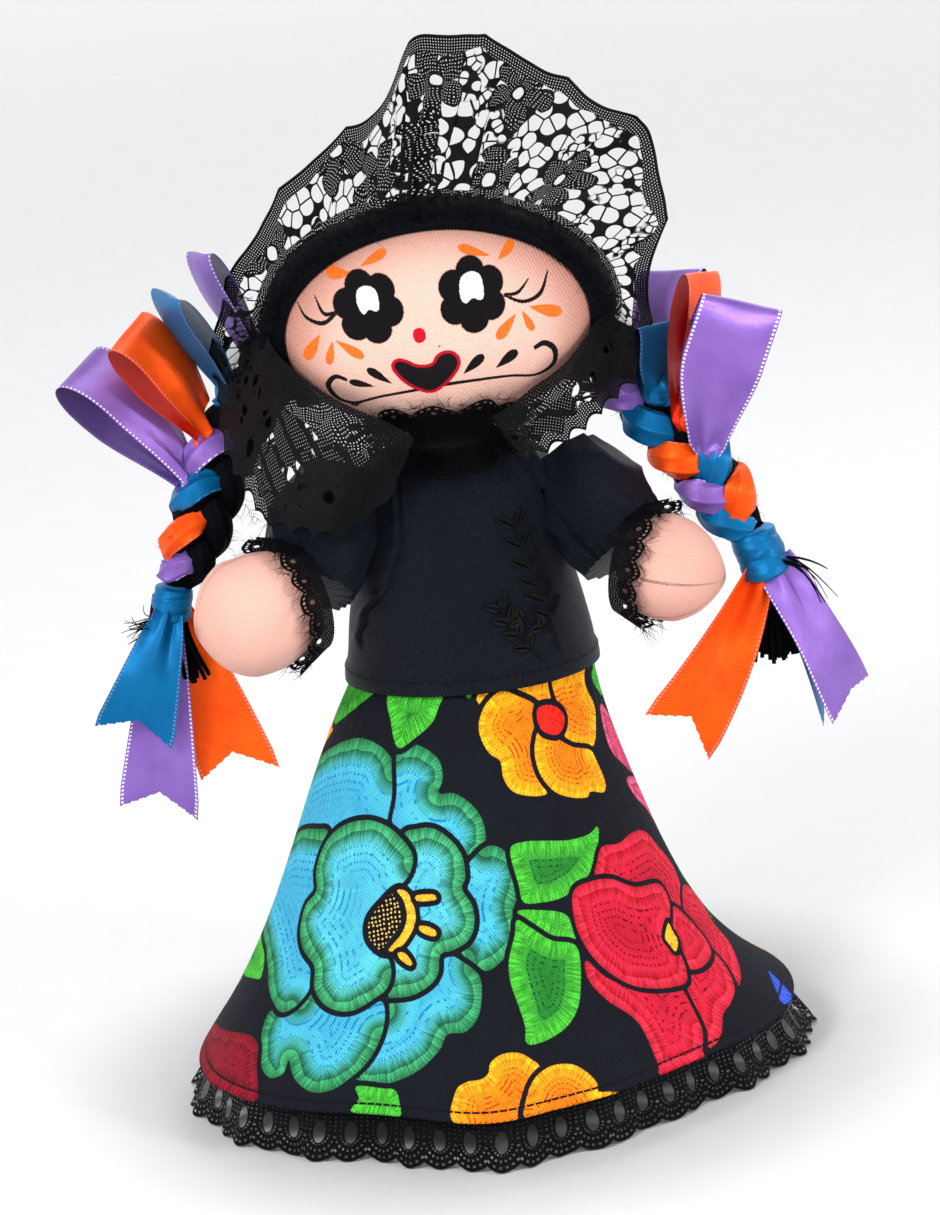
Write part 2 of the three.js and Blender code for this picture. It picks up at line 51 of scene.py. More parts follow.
def placed(points):
    """The points, given in mm in the doll's own frame, in metres in the frame of the model."""
    return (np.asarray(points, float) + SHIFT) / 1000


def unit(vectors):
    """Each vector divided by its length."""
    length = np.linalg.norm(vectors, axis=-1, keepdims=True)
    return vectors / np.maximum(length, 1e-9)


def smoothstep(values, low, high):
    """0 below low, 1 above high, and between them 3t^2 - 2t^3, with t the share of the way."""
    t = np.clip((np.asarray(values, float) - low) / (high - low), 0, 1)
    return t * t * (3 - 2 * t)


# %% [markdown]
# ## Camera
# The photograph looks slightly down on the doll, and the doll leans over a little in it. A long
# lens from 1.5 m keeps the sides of the skirt and the face close to their true proportions.

# %% The camera
LOOK_AT = np.array([3.4, 0.0, 143.5])
DISTANCE = 1500
ELEVATION = math.radians(15.5)
LEAN = math.radians(5.6)
LENS = 148.15                               # for the 36 mm of the picture's long side

forward = np.array([0, math.cos(ELEVATION), -math.sin(ELEVATION)])
level = np.array([1.0, 0.0, 0.0])
upright = np.array([0, math.sin(ELEVATION), math.cos(ELEVATION)])
right = math.cos(LEAN) * level - math.sin(LEAN) * upright
up = math.sin(LEAN) * level + math.cos(LEAN) * upright

camera = bpy.data.objects.new("camera", bpy.data.cameras.new("camera"))
bpy.context.scene.collection.objects.link(camera)
camera.data.lens = LENS
camera.data.clip_start = 0.1
matrix = np.eye(4)
matrix[:3, 0], matrix[:3, 1], matrix[:3, 2] = right, up, -forward
matrix[:3, 3] = placed(LOOK_AT - DISTANCE * forward)
camera.matrix_world = Matrix(matrix.tolist())
bpy.context.scene.camera = camera
print("camera at", np.round(matrix[:3, 3], 3))

# %% [markdown]
# ## Light and floor
# The photograph is a studio one: white paper, a large soft light from the upper left, a weaker one
# from the right that gives the satin its glints and throws a soft shadow to the back, and a bright
# surround. The paper is one wide sheet that rises far away on every side, so it fills any view.

# %% The light and the floor
def area_light(name, place, size, power, aim=(0, 0, 150)):
    """A square light that faces the point aim, size in mm and power in watts."""
    light = bpy.data.objects.new(name, bpy.data.lights.new(name, "AREA"))
    light.data.shape = "SQUARE"
    light.data.size = size / 1000
    light.data.energy = power
    back = unit(np.subtract(place, aim).astype(float))
    side = unit(np.cross([0, 0, 1], back))
    turn = np.eye(4)
    turn[:3, 0], turn[:3, 1], turn[:3, 2] = side, np.cross(back, side), back
    turn[:3, 3] = placed(place)
    light.matrix_world = Matrix(turn.tolist())
    bpy.context.scene.collection.objects.link(light)


area_light("key", (-650, -900, 900), 340, 13)
area_light("fill", (900, -700, 560), 260, 6.5)
area_light("rim", (300, 700, 900), 400, 3)

bpy.context.scene.view_settings.view_transform = "Standard"      # white paper stays white
world = bpy.data.worlds.new("surround")
bpy.context.scene.world = world
world.use_nodes = True
world.node_tree.nodes["Background"].inputs["Color"].default_value = (0.98, 0.985, 1.0, 1)
world.node_tree.nodes["Background"].inputs["Strength"].default_value = 0.42

# %% [markdown]
# ## Making meshes and materials
# Cloth is a grid of points, so one function turns a whole grid of numbers into a mesh. It also
# stores values at the points, such as how far a point is from the edge of a printed petal, for
# the materials to read. A material's arithmetic is written as plain sums of wires: each wire is one
# output of a node, and adding or multiplying wires adds the nodes.

# %% From arrays to a mesh
def make_piece(name, points, faces, values=None, smooth=True):
    """A mesh object from points in mm (n, 3) and faces (m, 3 or 4) of point numbers.
    values holds, by name, one number or three numbers for each point."""
    faces = np.asarray(faces)
    count, corners = faces.shape
    mesh = bpy.data.meshes.new(name)
    mesh.vertices.add(len(points))
    mesh.vertices.foreach_set("co", placed(points).ravel())
    mesh.loops.add(count * corners)
    mesh.loops.foreach_set("vertex_index", faces.ravel())
    mesh.polygons.add(count)
    mesh.polygons.foreach_set("loop_start", np.arange(count) * corners)
    mesh.polygons.foreach_set("use_smooth", np.full(count, smooth))
    for key, array in (values or {}).items():
        array = np.asarray(array, float)
        kind, field = ("FLOAT_VECTOR", "vector") if array.ndim > 1 else ("FLOAT", "value")
        mesh.attributes.new(key, kind, "POINT").data.foreach_set(field, array.ravel())
    mesh.update(calc_edges=True)
    mesh.validate()
    piece = bpy.data.objects.new(name, mesh)
    bpy.context.scene.collection.objects.link(piece)
    return piece


def grid_faces(rows, columns, around=False, up_around=False, turned=False, start=0):
    """Four-cornered faces for a grid of points, row after row. around joins the last column to the
    first, up_around the last row to the first, and turned makes the faces look the other way."""
    i = np.arange(rows if up_around else rows - 1)[:, None]
    j = np.arange(columns if around else columns - 1)[None, :]
    a = i * columns + j
    b = i * columns + (j + 1) % columns
    c = (i + 1) % rows * columns + (j + 1) % columns
    d = (i + 1) % rows * columns + j
    faces = np.stack([a, b, c, d], -1).reshape(-1, 4)
    return start + (faces[:, ::-1] if turned else faces)


def catmull_rom(stations, places):
    """Points on a smooth curve through the stations, at places from 0 to 1. The curve between
    two stations is a cubic whose knots are spaced by the square root of the chords' lengths."""
    stations = np.asarray(stations, float)
    first = 2 * stations[0] - stations[1]
    last = 2 * stations[-1] - stations[-2]
    knots = np.vstack([first, stations, last])
    place = np.clip(places, 0, 1) * (len(stations) - 1)
    i = np.minimum(place.astype(int), len(stations) - 2)
    w = (place - i)[:, None]
    p0, p1, p2, p3 = (knots[i + k] for k in range(4))
    d0, d1, d2 = (np.sqrt(np.linalg.norm(b - a, axis=1))[:, None]
                  for a, b in ((p0, p1), (p1, p2), (p2, p3)))
    d1 = np.maximum(d1, 1e-4)
    d0, d2 = np.where(d0 < 1e-4, d1, d0), np.where(d2 < 1e-4, d1, d2)
    t1 = ((p1 - p0) / d0 - (p2 - p0) / (d0 + d1) + (p2 - p1) / d1) * d1
    t2 = ((p2 - p1) / d1 - (p3 - p1) / (d1 + d2) + (p3 - p2) / d2) * d1
    c2 = -3 * p1 + 3 * p2 - 2 * t1 - t2
    c3 = 2 * p1 - 2 * p2 + t1 + t2
    return p1 + t1 * w + c2 * w ** 2 + c3 * w ** 3


def wavy(x, y, seed, octaves=3):
    """A smooth random number between about -1 and 1 at each place (x, y): sines of random
    directions and shifts, added, each octave twice as fine and half as strong."""
    random = np.random.default_rng(seed)
    total = np.zeros(np.broadcast(x, y).shape)
    for octave in range(octaves):
        for _ in range(5):
            a, shift = random.uniform(0, 2 * np.pi, 2)
            scale = 2 ** octave * random.uniform(0.7, 1.3)
            total += np.sin(scale * (x * np.cos(a) + y * np.sin(a)) + shift) / 2 ** octave
    return total / 5


# %% From sums to shader nodes
class Wire:
    """One output of a node in a material. Arithmetic on wires and numbers adds Math nodes."""

    def __init__(self, socket):
        self.socket = socket

    def new(self, kind, settings, inputs, output=0):
        """Adds a node of any kind to the same material: settings are its properties, and inputs
        its sockets' values or the wires that feed them. Gives the wire of one of its outputs."""
        node = self.socket.id_data.nodes.new(kind)
        for key, value in settings.items():
            setattr(node, key, value)
        for key, value in inputs.items():
            if isinstance(value, Wire):
                self.socket.id_data.links.new(value.socket, node.inputs[key])
            else:
                node.inputs[key].default_value = value
        return Wire(node.outputs[output])

    def math(self, operation, *values):
        return self.new("ShaderNodeMath", {"operation": operation}, dict(enumerate(values)))

    def __add__(self, other):
        return self.math("ADD", self, other)

    def __sub__(self, other):
        return self.math("SUBTRACT", self, other)

    def __mul__(self, other):
        return self.math("MULTIPLY", self, other)

    def __truediv__(self, other):
        return self.math("DIVIDE", self, other)

    def __pow__(self, other):
        return self.math("POWER", self, other)

    def __neg__(self):
        return self.math("MULTIPLY", self, -1.0)

    def __abs__(self):
        return self.math("ABSOLUTE", self)

    def __gt__(self, other):
        return self.math("GREATER_THAN", self, other)

    def __lt__(self, other):
        return self.math("LESS_THAN", self, other)

    def __rsub__(self, other):
        return self.math("SUBTRACT", other, self)

    def __rtruediv__(self, other):
        return self.math("DIVIDE", other, self)

    __radd__ = __add__
    __rmul__ = __mul__

    def smooth(self, low, high):
        """0 below low and 1 above high, with a soft step between them."""
        return self.new("ShaderNodeMapRange", {"interpolation_type": "SMOOTHSTEP"},
                        {"Value": self, "From Min": low, "From Max": high})

    def least(self, other):
        return self.math("MINIMUM", self, other)

    def most(self, other):
        return self.math("MAXIMUM", self, other)

    def sine(self, period):
        """A wave of the wire's value that repeats after the period."""
        return self.math("SINE", self * (2 * math.pi / period))

    def beyond(self, period):
        """How far the value is past the last whole number of periods, from 0 to 1."""
        return self.math("FRACT", self / period)


def blend(share, a, b):
    """The colour a where share is 0, b where it is 1, and their mix between."""
    return share.new("ShaderNodeMix", {"data_type": "RGBA"}, {0: share, 6: colour(a), 7: colour(b)}, 2)


def colour(value):
    """A colour as a socket takes it, from a hex string such as F26A1B, or the wire as it is."""
    if isinstance(value, Wire):
        return value
    channels = np.array([int(value[i:i + 2], 16) for i in (0, 2, 4)]) / 255
    linear = np.where(channels < 0.04045, channels / 12.92, ((channels + 0.055) / 1.055) ** 2.4)
    return (*linear, 1.0)


def tinted(wire, dark, light, share):
    """A colour made darker or lighter: times dark where share is 0, and times light where it is 1."""
    factor = share * (light - dark) + dark
    return wire.new("ShaderNodeVectorMath", {"operation": "SCALE"}, {0: wire, 3: factor})


def new_material(name):
    """A material with one Principled surface, and a wire in it to start from."""
    material = bpy.data.materials.new(name)
    material.use_nodes = True
    surface = material.node_tree.nodes["Principled BSDF"]
    return material, surface, Wire(surface.outputs[0])


def stored(wire, name, part=None):
    """A value stored at the piece's points, or the X, Y or Z of three values."""
    whole = wire.new("ShaderNodeAttribute", {"attribute_name": name}, {}, 2 if part is None else 1)
    return whole if part is None else split(whole, part)


def split(wire, part):
    """The X, Y or Z of a wire that carries a vector."""
    return wire.new("ShaderNodeSeparateXYZ", {}, {0: wire}, part)


def joined(x, y, z=0.0):
    """A vector wire from its parts."""
    first = next(value for value in (x, y, z) if isinstance(value, Wire))
    return first.new("ShaderNodeCombineXYZ", {}, {0: x, 1: y, 2: z})


def noise(vector, scale, detail=2.0, output=0):
    """Soft random values from 0 to 1 about each point of the vector."""
    return vector.new("ShaderNodeTexNoise", {}, {"Vector": vector, "Scale": scale, "Detail": detail}, output)


def connect(surface, **wires):
    """Feeds the surface's sockets, whose names are given with _ for a space."""
    for key, value in wires.items():
        socket = surface.inputs[key.replace("_", " ")]
        if isinstance(value, Wire):
            surface.id_data.links.new(value.socket, socket)
        else:
            socket.default_value = value


def bumped(height, distance, strength=1.0):
    """The surface's direction for a relief: height from 0 to 1, and its depth in mm."""
    return height.new("ShaderNodeBump", {}, {"Height": height, "Distance": distance / 1000, "Strength": strength})


def woven(x, y, pitch):
    """The relief of a plain weave, threads over and under by turns, from 0 to 1."""
    return (x.sine(2 * pitch) * y.sine(2 * pitch)) * 0.5 + 0.5


def dress(piece, material, node):
    """Gives a piece its material, hangs it under the root body, and hides the model's parts for the node it stands
    for.
    """
    if not piece.data.materials:
        piece.data.materials.append(material)
    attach(piece, "root")
    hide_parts(*([node] if isinstance(node, str) else node))
    print(f"{piece.name}: {len(piece.data.vertices)} points, {len(piece.data.polygons)} faces")


# %% The floor
NEAR_GLOW, FAR_GLOW = 0.33, 0.77            # the paper's own glow, which keeps it white in the shade


def paper_floor():
    """One sheet of paper, level out to 12 m, then rising as a bowl: 0.35 times the square of the
    distance beyond. Under the skirt it has no glow of its own."""
    far = np.linspace(-1, 1, 97)
    x, y = np.meshgrid(20000 * far * np.abs(far), 20000 * far * np.abs(far))
    beyond = np.maximum(np.hypot(x, y) / 1000 - 12, 0)
    points = np.stack([x, y, np.minimum(350 * beyond ** 2, 20000)], -1)
    floor = make_piece("paper_floor", points.reshape(-1, 3), grid_faces(97, 97))
    material, surface, here = new_material("white_paper")
    place = here.new("ShaderNodeTexCoord", {}, {}, "Object")
    grain = noise(place, 60.0)
    x, y = split(place, 0), split(place, 1)
    away = (x * x + y * y) ** 0.5
    glow = away.smooth(0.085, 0.16) * NEAR_GLOW + away.smooth(0.4, 6.0) * (FAR_GLOW - NEAR_GLOW)
    connect(surface, Base_Color=blend(grain, "BABABC", "C0C0C2"), Roughness=0.9, Specular_IOR_Level=0.1,
            Emission_Color=joined(glow, glow, glow), Emission_Strength=1.0)
    floor.data.materials.append(material)


paper_floor()

# %% [markdown]
# ## Skirt
# The skirt is cut from printed canvas as a part of a ring, sewn up at the back and turned in at
# the hem. It hangs as a bell with a few soft folds, one of them a sharp pleat at the doll's right.
# The bell's formula is the one the solid model has, at many more points.

# %% The bell
WAIST_Z, WAIST_RADIUS = 127, 36
EDGE_Z, EDGE_RADIUS = 16, 91
CLOTH_TOP_Z, TUCK = 125.85, 0.21            # at the waist it is flattened to go in under the blouse
SAG, HOLLOW = 3.5, 7
BODY_X = 2.5
LATE_PEAK, EARLY_PEAK = 12.2, 6.75          # they bring the curves they multiply to a peak of 1
FOLDS = np.array([                          # angle, half width in degrees, reach at the edge
    [-150, 22, 6], [-116, 9, -2.5], [-93, 10, 5.5], [-50, 20, -7],
    [30, 18, -3], [75, 14, 2], [125, 18, 2], [170, 16, -3]])


def fold(angle, down):
    """How far the cloth stands out from the plain bell: a sum of bell curves round the skirt, which
    grow with the square of the way down, and a hollow above the edge on the doll's left."""
    apart = (angle[..., None] - np.radians(FOLDS[:, 0]) + np.pi) % (2 * np.pi) - np.pi
    out = (FOLDS[:, 2] * np.exp(-(apart / np.radians(FOLDS[:, 1])) ** 2)).sum(-1) * down ** 2
    aside = (angle + np.pi) % (2 * np.pi) - np.pi
    return out - HOLLOW * np.exp(-aside ** 2) * LATE_PEAK * down ** 4 * (1 - down)


def bell_radius(down):
    return WAIST_RADIUS + (EDGE_RADIUS - WAIST_RADIUS) * (0.7 * down + 0.3 * down ** 3)


def bell(angle, down, inward=0.0):
    """The cloth's outer face, or a face that lies inward of it, at angles and shares of the way down."""
    crumple = 0.35 * wavy(angle * 9, down * 5, 4) * down * (1 - down) * 4
    gather = 0.25 * np.sin(46 * angle + 2 * np.sin(5 * angle)) * np.exp(-down / 0.09)
    radius = bell_radius(down) + fold(angle, down) + crumple + gather - inward
    x = BODY_X * (1 - down) - SAG * EARLY_PEAK * down * (1 - down) ** 2 + radius * np.cos(angle)
    flat = 1 - TUCK * (1 - smoothstep(down, 0.0, 0.16))
    return np.stack([x, radius * flat * np.sin(angle), CLOTH_TOP_Z + (EDGE_Z - CLOTH_TOP_Z) * down], -1)


AROUND, DOWN, TURNED_IN = 560, 132, 12      # steps of the cloth, and of the hem that is turned in
FRONT = -math.pi / 2
angles = np.linspace(-1.5 * np.pi, 0.5 * np.pi, AROUND + 1)      # the seam is at the back
angle_grid, down_grid = np.meshgrid(angles, np.linspace(0, 1, DOWN + 1))
outer = bell(angle_grid, down_grid)
turn_angles, turn_downs = np.meshgrid(angles, 1 - 0.11 * np.linspace(0.02, 1, TURNED_IN) ** 1.5)
inner = bell(turn_angles, turn_downs, 1.3)
skirt_points = np.concatenate([outer, inner])
print("the edge is", round(np.linalg.norm(np.diff(outer[-1], axis=0), axis=1).sum()), "mm round")

# %% [markdown]
# The print is drawn on the flat cloth, before it is sewn, so each point of the bell needs its place
# on the flat cut. A cone unrolls without stretching: a point at a slant distance from the cone's
# tip keeps it, and the angle round the axis shrinks by the sine of the cone's half angle.

# %% The flat cut
profile = np.linspace(0, 1, 400)
slant_steps = np.hypot(np.diff(bell_radius(profile)), (CLOTH_TOP_Z - EDGE_Z) / 399)
slant = np.concatenate([[0], np.cumsum(slant_steps)])
CONE_SINE = (EDGE_RADIUS - WAIST_RADIUS) / slant[-1]
TIP = WAIST_RADIUS / CONE_SINE


def flat_cut(angle, down):
    """Where a point of the bell lies on the unrolled cloth, in mm, with the cone's tip at the origin."""
    reach = TIP + np.interp(down, profile, slant)
    turn = (angle - FRONT) * CONE_SINE
    return np.stack([reach * np.sin(turn), reach * np.cos(turn)], -1)


# %% [markdown]
# The flowers are outlines on the flat cut, in mm, painted one over another as the printer's
# artist did: outer petals, inner petals, seeds. For each point, the distance to the nearest
# outline is kept, and the place along that outline, since the shading of a petal runs in bands
# along its edge and in strokes across it. Round the back the same flowers come again.

# %% The flowers' outlines
PRINT = [                                   # kind of petal and its outlines
    ("turquoise", [
        [(-89.5, 103), (-82, 92.5), (-75, 83), (-53, 84), (-39, 86), (-29.5, 91), (-25, 97),
         (-25, 105.5), (-27, 114.5), (-37, 116), (-49.5, 117), (-69.5, 112)],
        [(-24, 93), (-20, 92), (-14.5, 94), (-10, 98), (-9, 103.5), (-10.5, 107.5), (-5.5, 108),
         (0, 112), (3, 117), (3.5, 123), (1.5, 126.5), (-3.5, 129.5), (-14, 131.5), (-24.5, 124.5),
         (-27, 115), (-24.5, 105.5)],
        [(-3.5, 129.5), (3.5, 124.5), (9, 126), (13, 131), (13, 138), (10, 143.5), (11, 149),
         (9, 154.5), (3.5, 158.5), (-1.5, 160.5), (-6.5, 157), (-12.5, 155), (-15.5, 143.5),
         (-9.5, 134)],
        [(-13.5, 154.5), (-7.5, 157.5), (-3.5, 162), (-4, 169), (-6, 174), (-10, 177.5), (-15.5, 178),
         (-18.5, 182.5), (-24.5, 187.5), (-31.5, 190.5), (-38.5, 191.5), (-44, 190), (-46.5, 187.5),
         (-42, 183), (-37.5, 176), (-36, 169), (-38, 163.5), (-27, 162), (-18.5, 159)],
        [(-76, 160), (-65.5, 160.5), (-59.5, 153.5), (-47.5, 158.5), (-38, 164.5), (-36, 169),
         (-37.5, 176), (-42, 183), (-48, 187.5), (-53.5, 190), (-59.5, 189.5), (-64.5, 185.5),
         (-67, 181), (-68, 177.5), (-69.5, 181.5), (-74, 182), (-78, 177.5), (-79.5, 171),
         (-79.5, 164)],
        [(-52, 112), (-60, 108), (-78.5, 103.5), (-91, 105), (-96, 112.5), (-102.5, 120), (-98, 129.5),
         (-84.5, 143), (-80, 152.5), (-76, 158.5), (-72, 162), (-67, 161.5), (-62.5, 158.5),
         (-59.5, 154.5), (-51.5, 147), (-50, 127.5)],
    ]),
    ("turquoise over", [
        [(-24, 118.5), (-18.5, 117), (-13, 117.5), (-8, 121), (-4.5, 126), (-4, 132.5), (-5.5, 136),
         (-3, 141), (-3, 146.5), (-5.5, 151), (-10.5, 153.5), (-15, 154.5), (-16.5, 160), (-21, 164),
         (-28.5, 166), (-37.5, 163.5), (-39.5, 150), (-33.5, 131)],
        [(-51, 112), (-43.5, 110.5), (-35, 111.5), (-28, 115), (-23, 120), (-20.5, 125), (-22.5, 130),
         (-27, 133.5), (-33, 136.5), (-38.5, 141), (-39, 147), (-34, 152), (-32.5, 157.5),
         (-34.5, 162.5), (-39.5, 165), (-46, 167), (-51.5, 166), (-56.5, 162.5), (-59.5, 157),
         (-59.5, 150.5), (-64, 144.5), (-66, 138), (-64, 131), (-58.5, 127.5), (-59, 121),
         (-56, 115.5)],
    ]),
    ("seeds", [
        [(-27, 133.5), (-33, 136.5), (-38.5, 141), (-39, 147), (-34, 152), (-28, 150), (-23.5, 145.5),
         (-22.5, 140.5), (-23.5, 136)],
    ]),
    ("gold", [
        [(-27.5, 134), (-24, 135), (-22, 139.5), (-22.5, 145), (-27.5, 150.5), (-33, 152),
         (-32, 150.5), (-27.5, 147), (-25, 142.5), (-25.5, 137.5)],
    ]),
    ("gold", [
        [(-21, 136.5), (-17, 136.5), (-14.5, 137), (-14, 138), (-15, 138.5), (-18.5, 138.5),
         (-21, 138)],
        [(-21, 145.5), (-18, 146), (-15.5, 147.5), (-16, 149), (-18.5, 148.5), (-21, 147)],
        [(-29.5, 152.5), (-27, 153), (-25, 156), (-25.5, 157), (-27.5, 156), (-29.5, 154)],
    ]),
    ("yellow", [
        [(-1, 81), (7.5, 80.5), (4.5, 83.5), (2.5, 85.5), (0, 82.5)],
        [(8, 80.5), (15.5, 79.5), (25, 77), (26, 78), (28, 84.5), (22.5, 85.5), (13.5, 83)],
        [(25, 77), (33, 74), (41.5, 69.5), (41, 76), (47.5, 81), (47.5, 88), (45.5, 94), (39.5, 96),
         (33, 95), (28.5, 93), (32, 90.5), (31, 86), (28, 84)],
        [(8, 81.5), (13.5, 83), (20, 85.5), (21, 89.5), (21, 93), (19.5, 99), (21, 104), (25.5, 108.5),
         (23.5, 110.5), (18, 110.5), (13, 109), (10, 105), (9, 100), (5.5, 97.5), (2.5, 93), (2, 89),
         (4, 84.5)],
        [(22, 91.5), (27.5, 93), (35, 95.5), (43.5, 95.5), (46.5, 98), (50.5, 104.5), (49, 108),
         (43, 108.5), (41, 110.5), (34.5, 111), (28, 109.5), (23, 105), (20.5, 99), (20.5, 94)],
    ]),
    ("centre", [
        [(20.5, 86.5), (23, 85), (27.5, 85), (31, 87), (31, 90), (28.5, 92.5), (23.5, 92), (21, 89.5)],
    ]),
    ("orange", [
        [(-15, 204), (-14.5, 195), (-11, 192), (-7, 191.5), (-4.5, 190), (-3.5, 187), (0, 185),
         (5, 185.5), (9, 188.5), (11, 191), (7, 194), (4.5, 198), (2.5, 204.5)],
        [(4.5, 204.5), (6, 198), (9, 193.5), (14.5, 191), (21, 191.5), (25.5, 194.5), (28, 198),
         (28, 200.5), (34.5, 201), (32.5, 202), (21, 203.5), (11.5, 204)],
    ]),
    ("leaf", [
        [(11, 126), (16, 124), (23, 124), (32, 124), (40.5, 122), (45, 119), (44.5, 124.5), (42, 131),
         (35.5, 137.5), (27, 141.5), (19.5, 142.5), (13.5, 142), (12.5, 136.5)],
        [(11, 144.5), (17, 144.5), (27.5, 146.5), (29.5, 152.5), (29.5, 155.5), (21.5, 152.5),
         (14, 148)],
        [(10.5, 147), (14.5, 149.5), (21, 154), (30, 157), (28, 171), (23.5, 178.5), (17, 182.5),
         (10.5, 184), (7.5, 183), (8, 178.5), (7, 172.5), (5.5, 165), (6, 158.5), (9, 151.5)],
        [(-28, 76), (-18.5, 78.5), (-10, 80.5), (-10.5, 84), (-12.5, 88), (-18, 91), (-23.5, 92.5),
         (-26, 86.5)],
        [(-57, 62.5), (-40.5, 70), (-33, 74), (-37, 75.5), (-46, 76.5), (-57.5, 75.5), (-61, 67)],
        [(-6, 80.5), (-1, 81), (-1.5, 83), (-4, 81)],
        [(101.5, 112.5), (112, 113), (123, 119), (130, 130), (120, 131), (112, 124.5), (102.5, 122.5),
         (104, 117)],
        [(-113, 138.5), (-108, 127), (-89.5, 138.5), (-86, 147.5), (-92, 147)],
        [(-46.5, 190.5), (-38.5, 192.5), (-34, 193.5), (-32.5, 197), (-32.5, 202), (-40.5, 200.5),
         (-48, 198), (-45.5, 194.5)],
    ]),
    ("pink", [
        [(53, 79), (68, 79.5), (82, 80), (92, 86), (93, 92.5), (86, 95.5), (75, 95.5), (59, 94.5),
         (53.5, 88.5)],
        [(66, 100), (84, 94.5), (96, 97), (106, 104), (109, 111), (101, 112), (91.5, 107.5), (82, 106.5),
         (70, 105)],
    ]),
    ("red", [
        [(41, 136.5), (43, 131), (46, 125.5), (54, 123.5), (62, 119), (71.5, 116.5), (80.5, 119.5),
         (91, 122.5), (92, 129.5), (86, 139.5), (77, 138.5), (73.5, 133.5), (59.5, 137.5), (49, 135.5)],
        [(95.5, 129), (115, 126.5), (110.5, 137.5), (113, 145), (108, 154), (100.5, 163), (94.5, 167),
         (97, 158), (94, 153.5), (92.5, 147.5), (85.5, 142)],
        [(93, 154), (97, 158), (95, 166), (89, 172.5), (83.5, 177), (79.5, 183.5), (75, 188),
         (70.5, 189), (72, 179), (70.5, 168.5), (75, 163), (82.5, 161)],
        [(32.5, 161), (39, 166.5), (49.5, 170.5), (59.5, 170.5), (70, 168.5), (72.5, 175.5), (73, 183),
         (70, 190), (68, 193), (50.5, 198), (51.5, 194.5), (48.5, 181.5), (38, 174), (32, 167)],
        [(78, 141), (84.5, 142), (92.5, 147.5), (93, 154), (83.5, 161), (75, 162.5), (75, 156.5),
         (72.5, 150)],
        [(32, 139.5), (40, 136.5), (49, 135.5), (59.5, 137), (73, 134), (77, 139), (73.5, 148.5),
         (75, 156.5), (75.5, 163), (72.5, 168), (59.5, 170.5), (48, 169), (38, 163), (32.5, 155.5),
         (30.5, 147.5)],
    ]),
    ("gold", [
        [(73, 147), (74, 149.5), (75.5, 153), (73, 157), (71, 155), (69.5, 152.5)],
    ]),
    ("dark red", [
        [(-137, 151.5), (-100, 162), (-82.5, 168), (-79.5, 177.5), (-78, 188.5), (-89.5, 183.5),
         (-103, 176.5)],
    ]),
    ("blue", [
        [(122.5, 155), (121.5, 160.5), (119, 166), (114, 169.5), (111, 169)],
    ]),
]
# The colours of each kind: at the petal's edge, in the band within it, in its heart, and of the strokes
TINTS = {
    "turquoise": ("1A6234", "3A9A66", "48B0CC", "1878B0"),
    "turquoise over": ("1C6838", "42A26E", "54BACE", "1A7EB2"),
    "seeds": ("0A0908", "0A0908", "0A0908", "D8B368"),
    "gold": ("F7A81E", "FFC23A", "FFC23A", "E07A10"),
    "yellow": ("F59A12", "FFB41E", "F28A10", "B83006"),
    "centre": ("DE231B", "E8271F", "E8271F", "B01612"),
    "orange": ("F29214", "FFAE20", "F08612", "B83408"),
    "leaf": ("3FAA30", "46B634", "257C2C", "0E4A1C"),
    "pink": ("C21F4A", "E06A8C", "D84A74", "861034"),
    "red": ("B80E22", "E03048", "CE1C38", "6A0416"),
    "dark red": ("6E0E1C", "8A1526", "8A1526", "4C0812"),
    "blue": ("2A4BC8", "3A62DC", "3A62DC", "1A2E90"),
}


def closed_curve(corners, steps=6):
    """A smooth closed outline through the corners, a cubic from each corner to the next whose slope
    at a corner is half the chord between its neighbours."""
    p = np.asarray(corners, float)
    before, after, beyond = np.roll(p, 1, 0), np.roll(p, -1, 0), np.roll(p, -2, 0)
    t = (np.arange(steps) / steps)[None, :, None]
    a, b, c, d = (q[:, None] for q in (before, p, after, beyond))
    curve = 0.5 * (2 * b + (c - a) * t + (2 * a - 5 * b + 4 * c - d) * t ** 2
                   + (3 * b - a - 3 * c + d) * t ** 3)
    return curve.reshape(-1, 2)


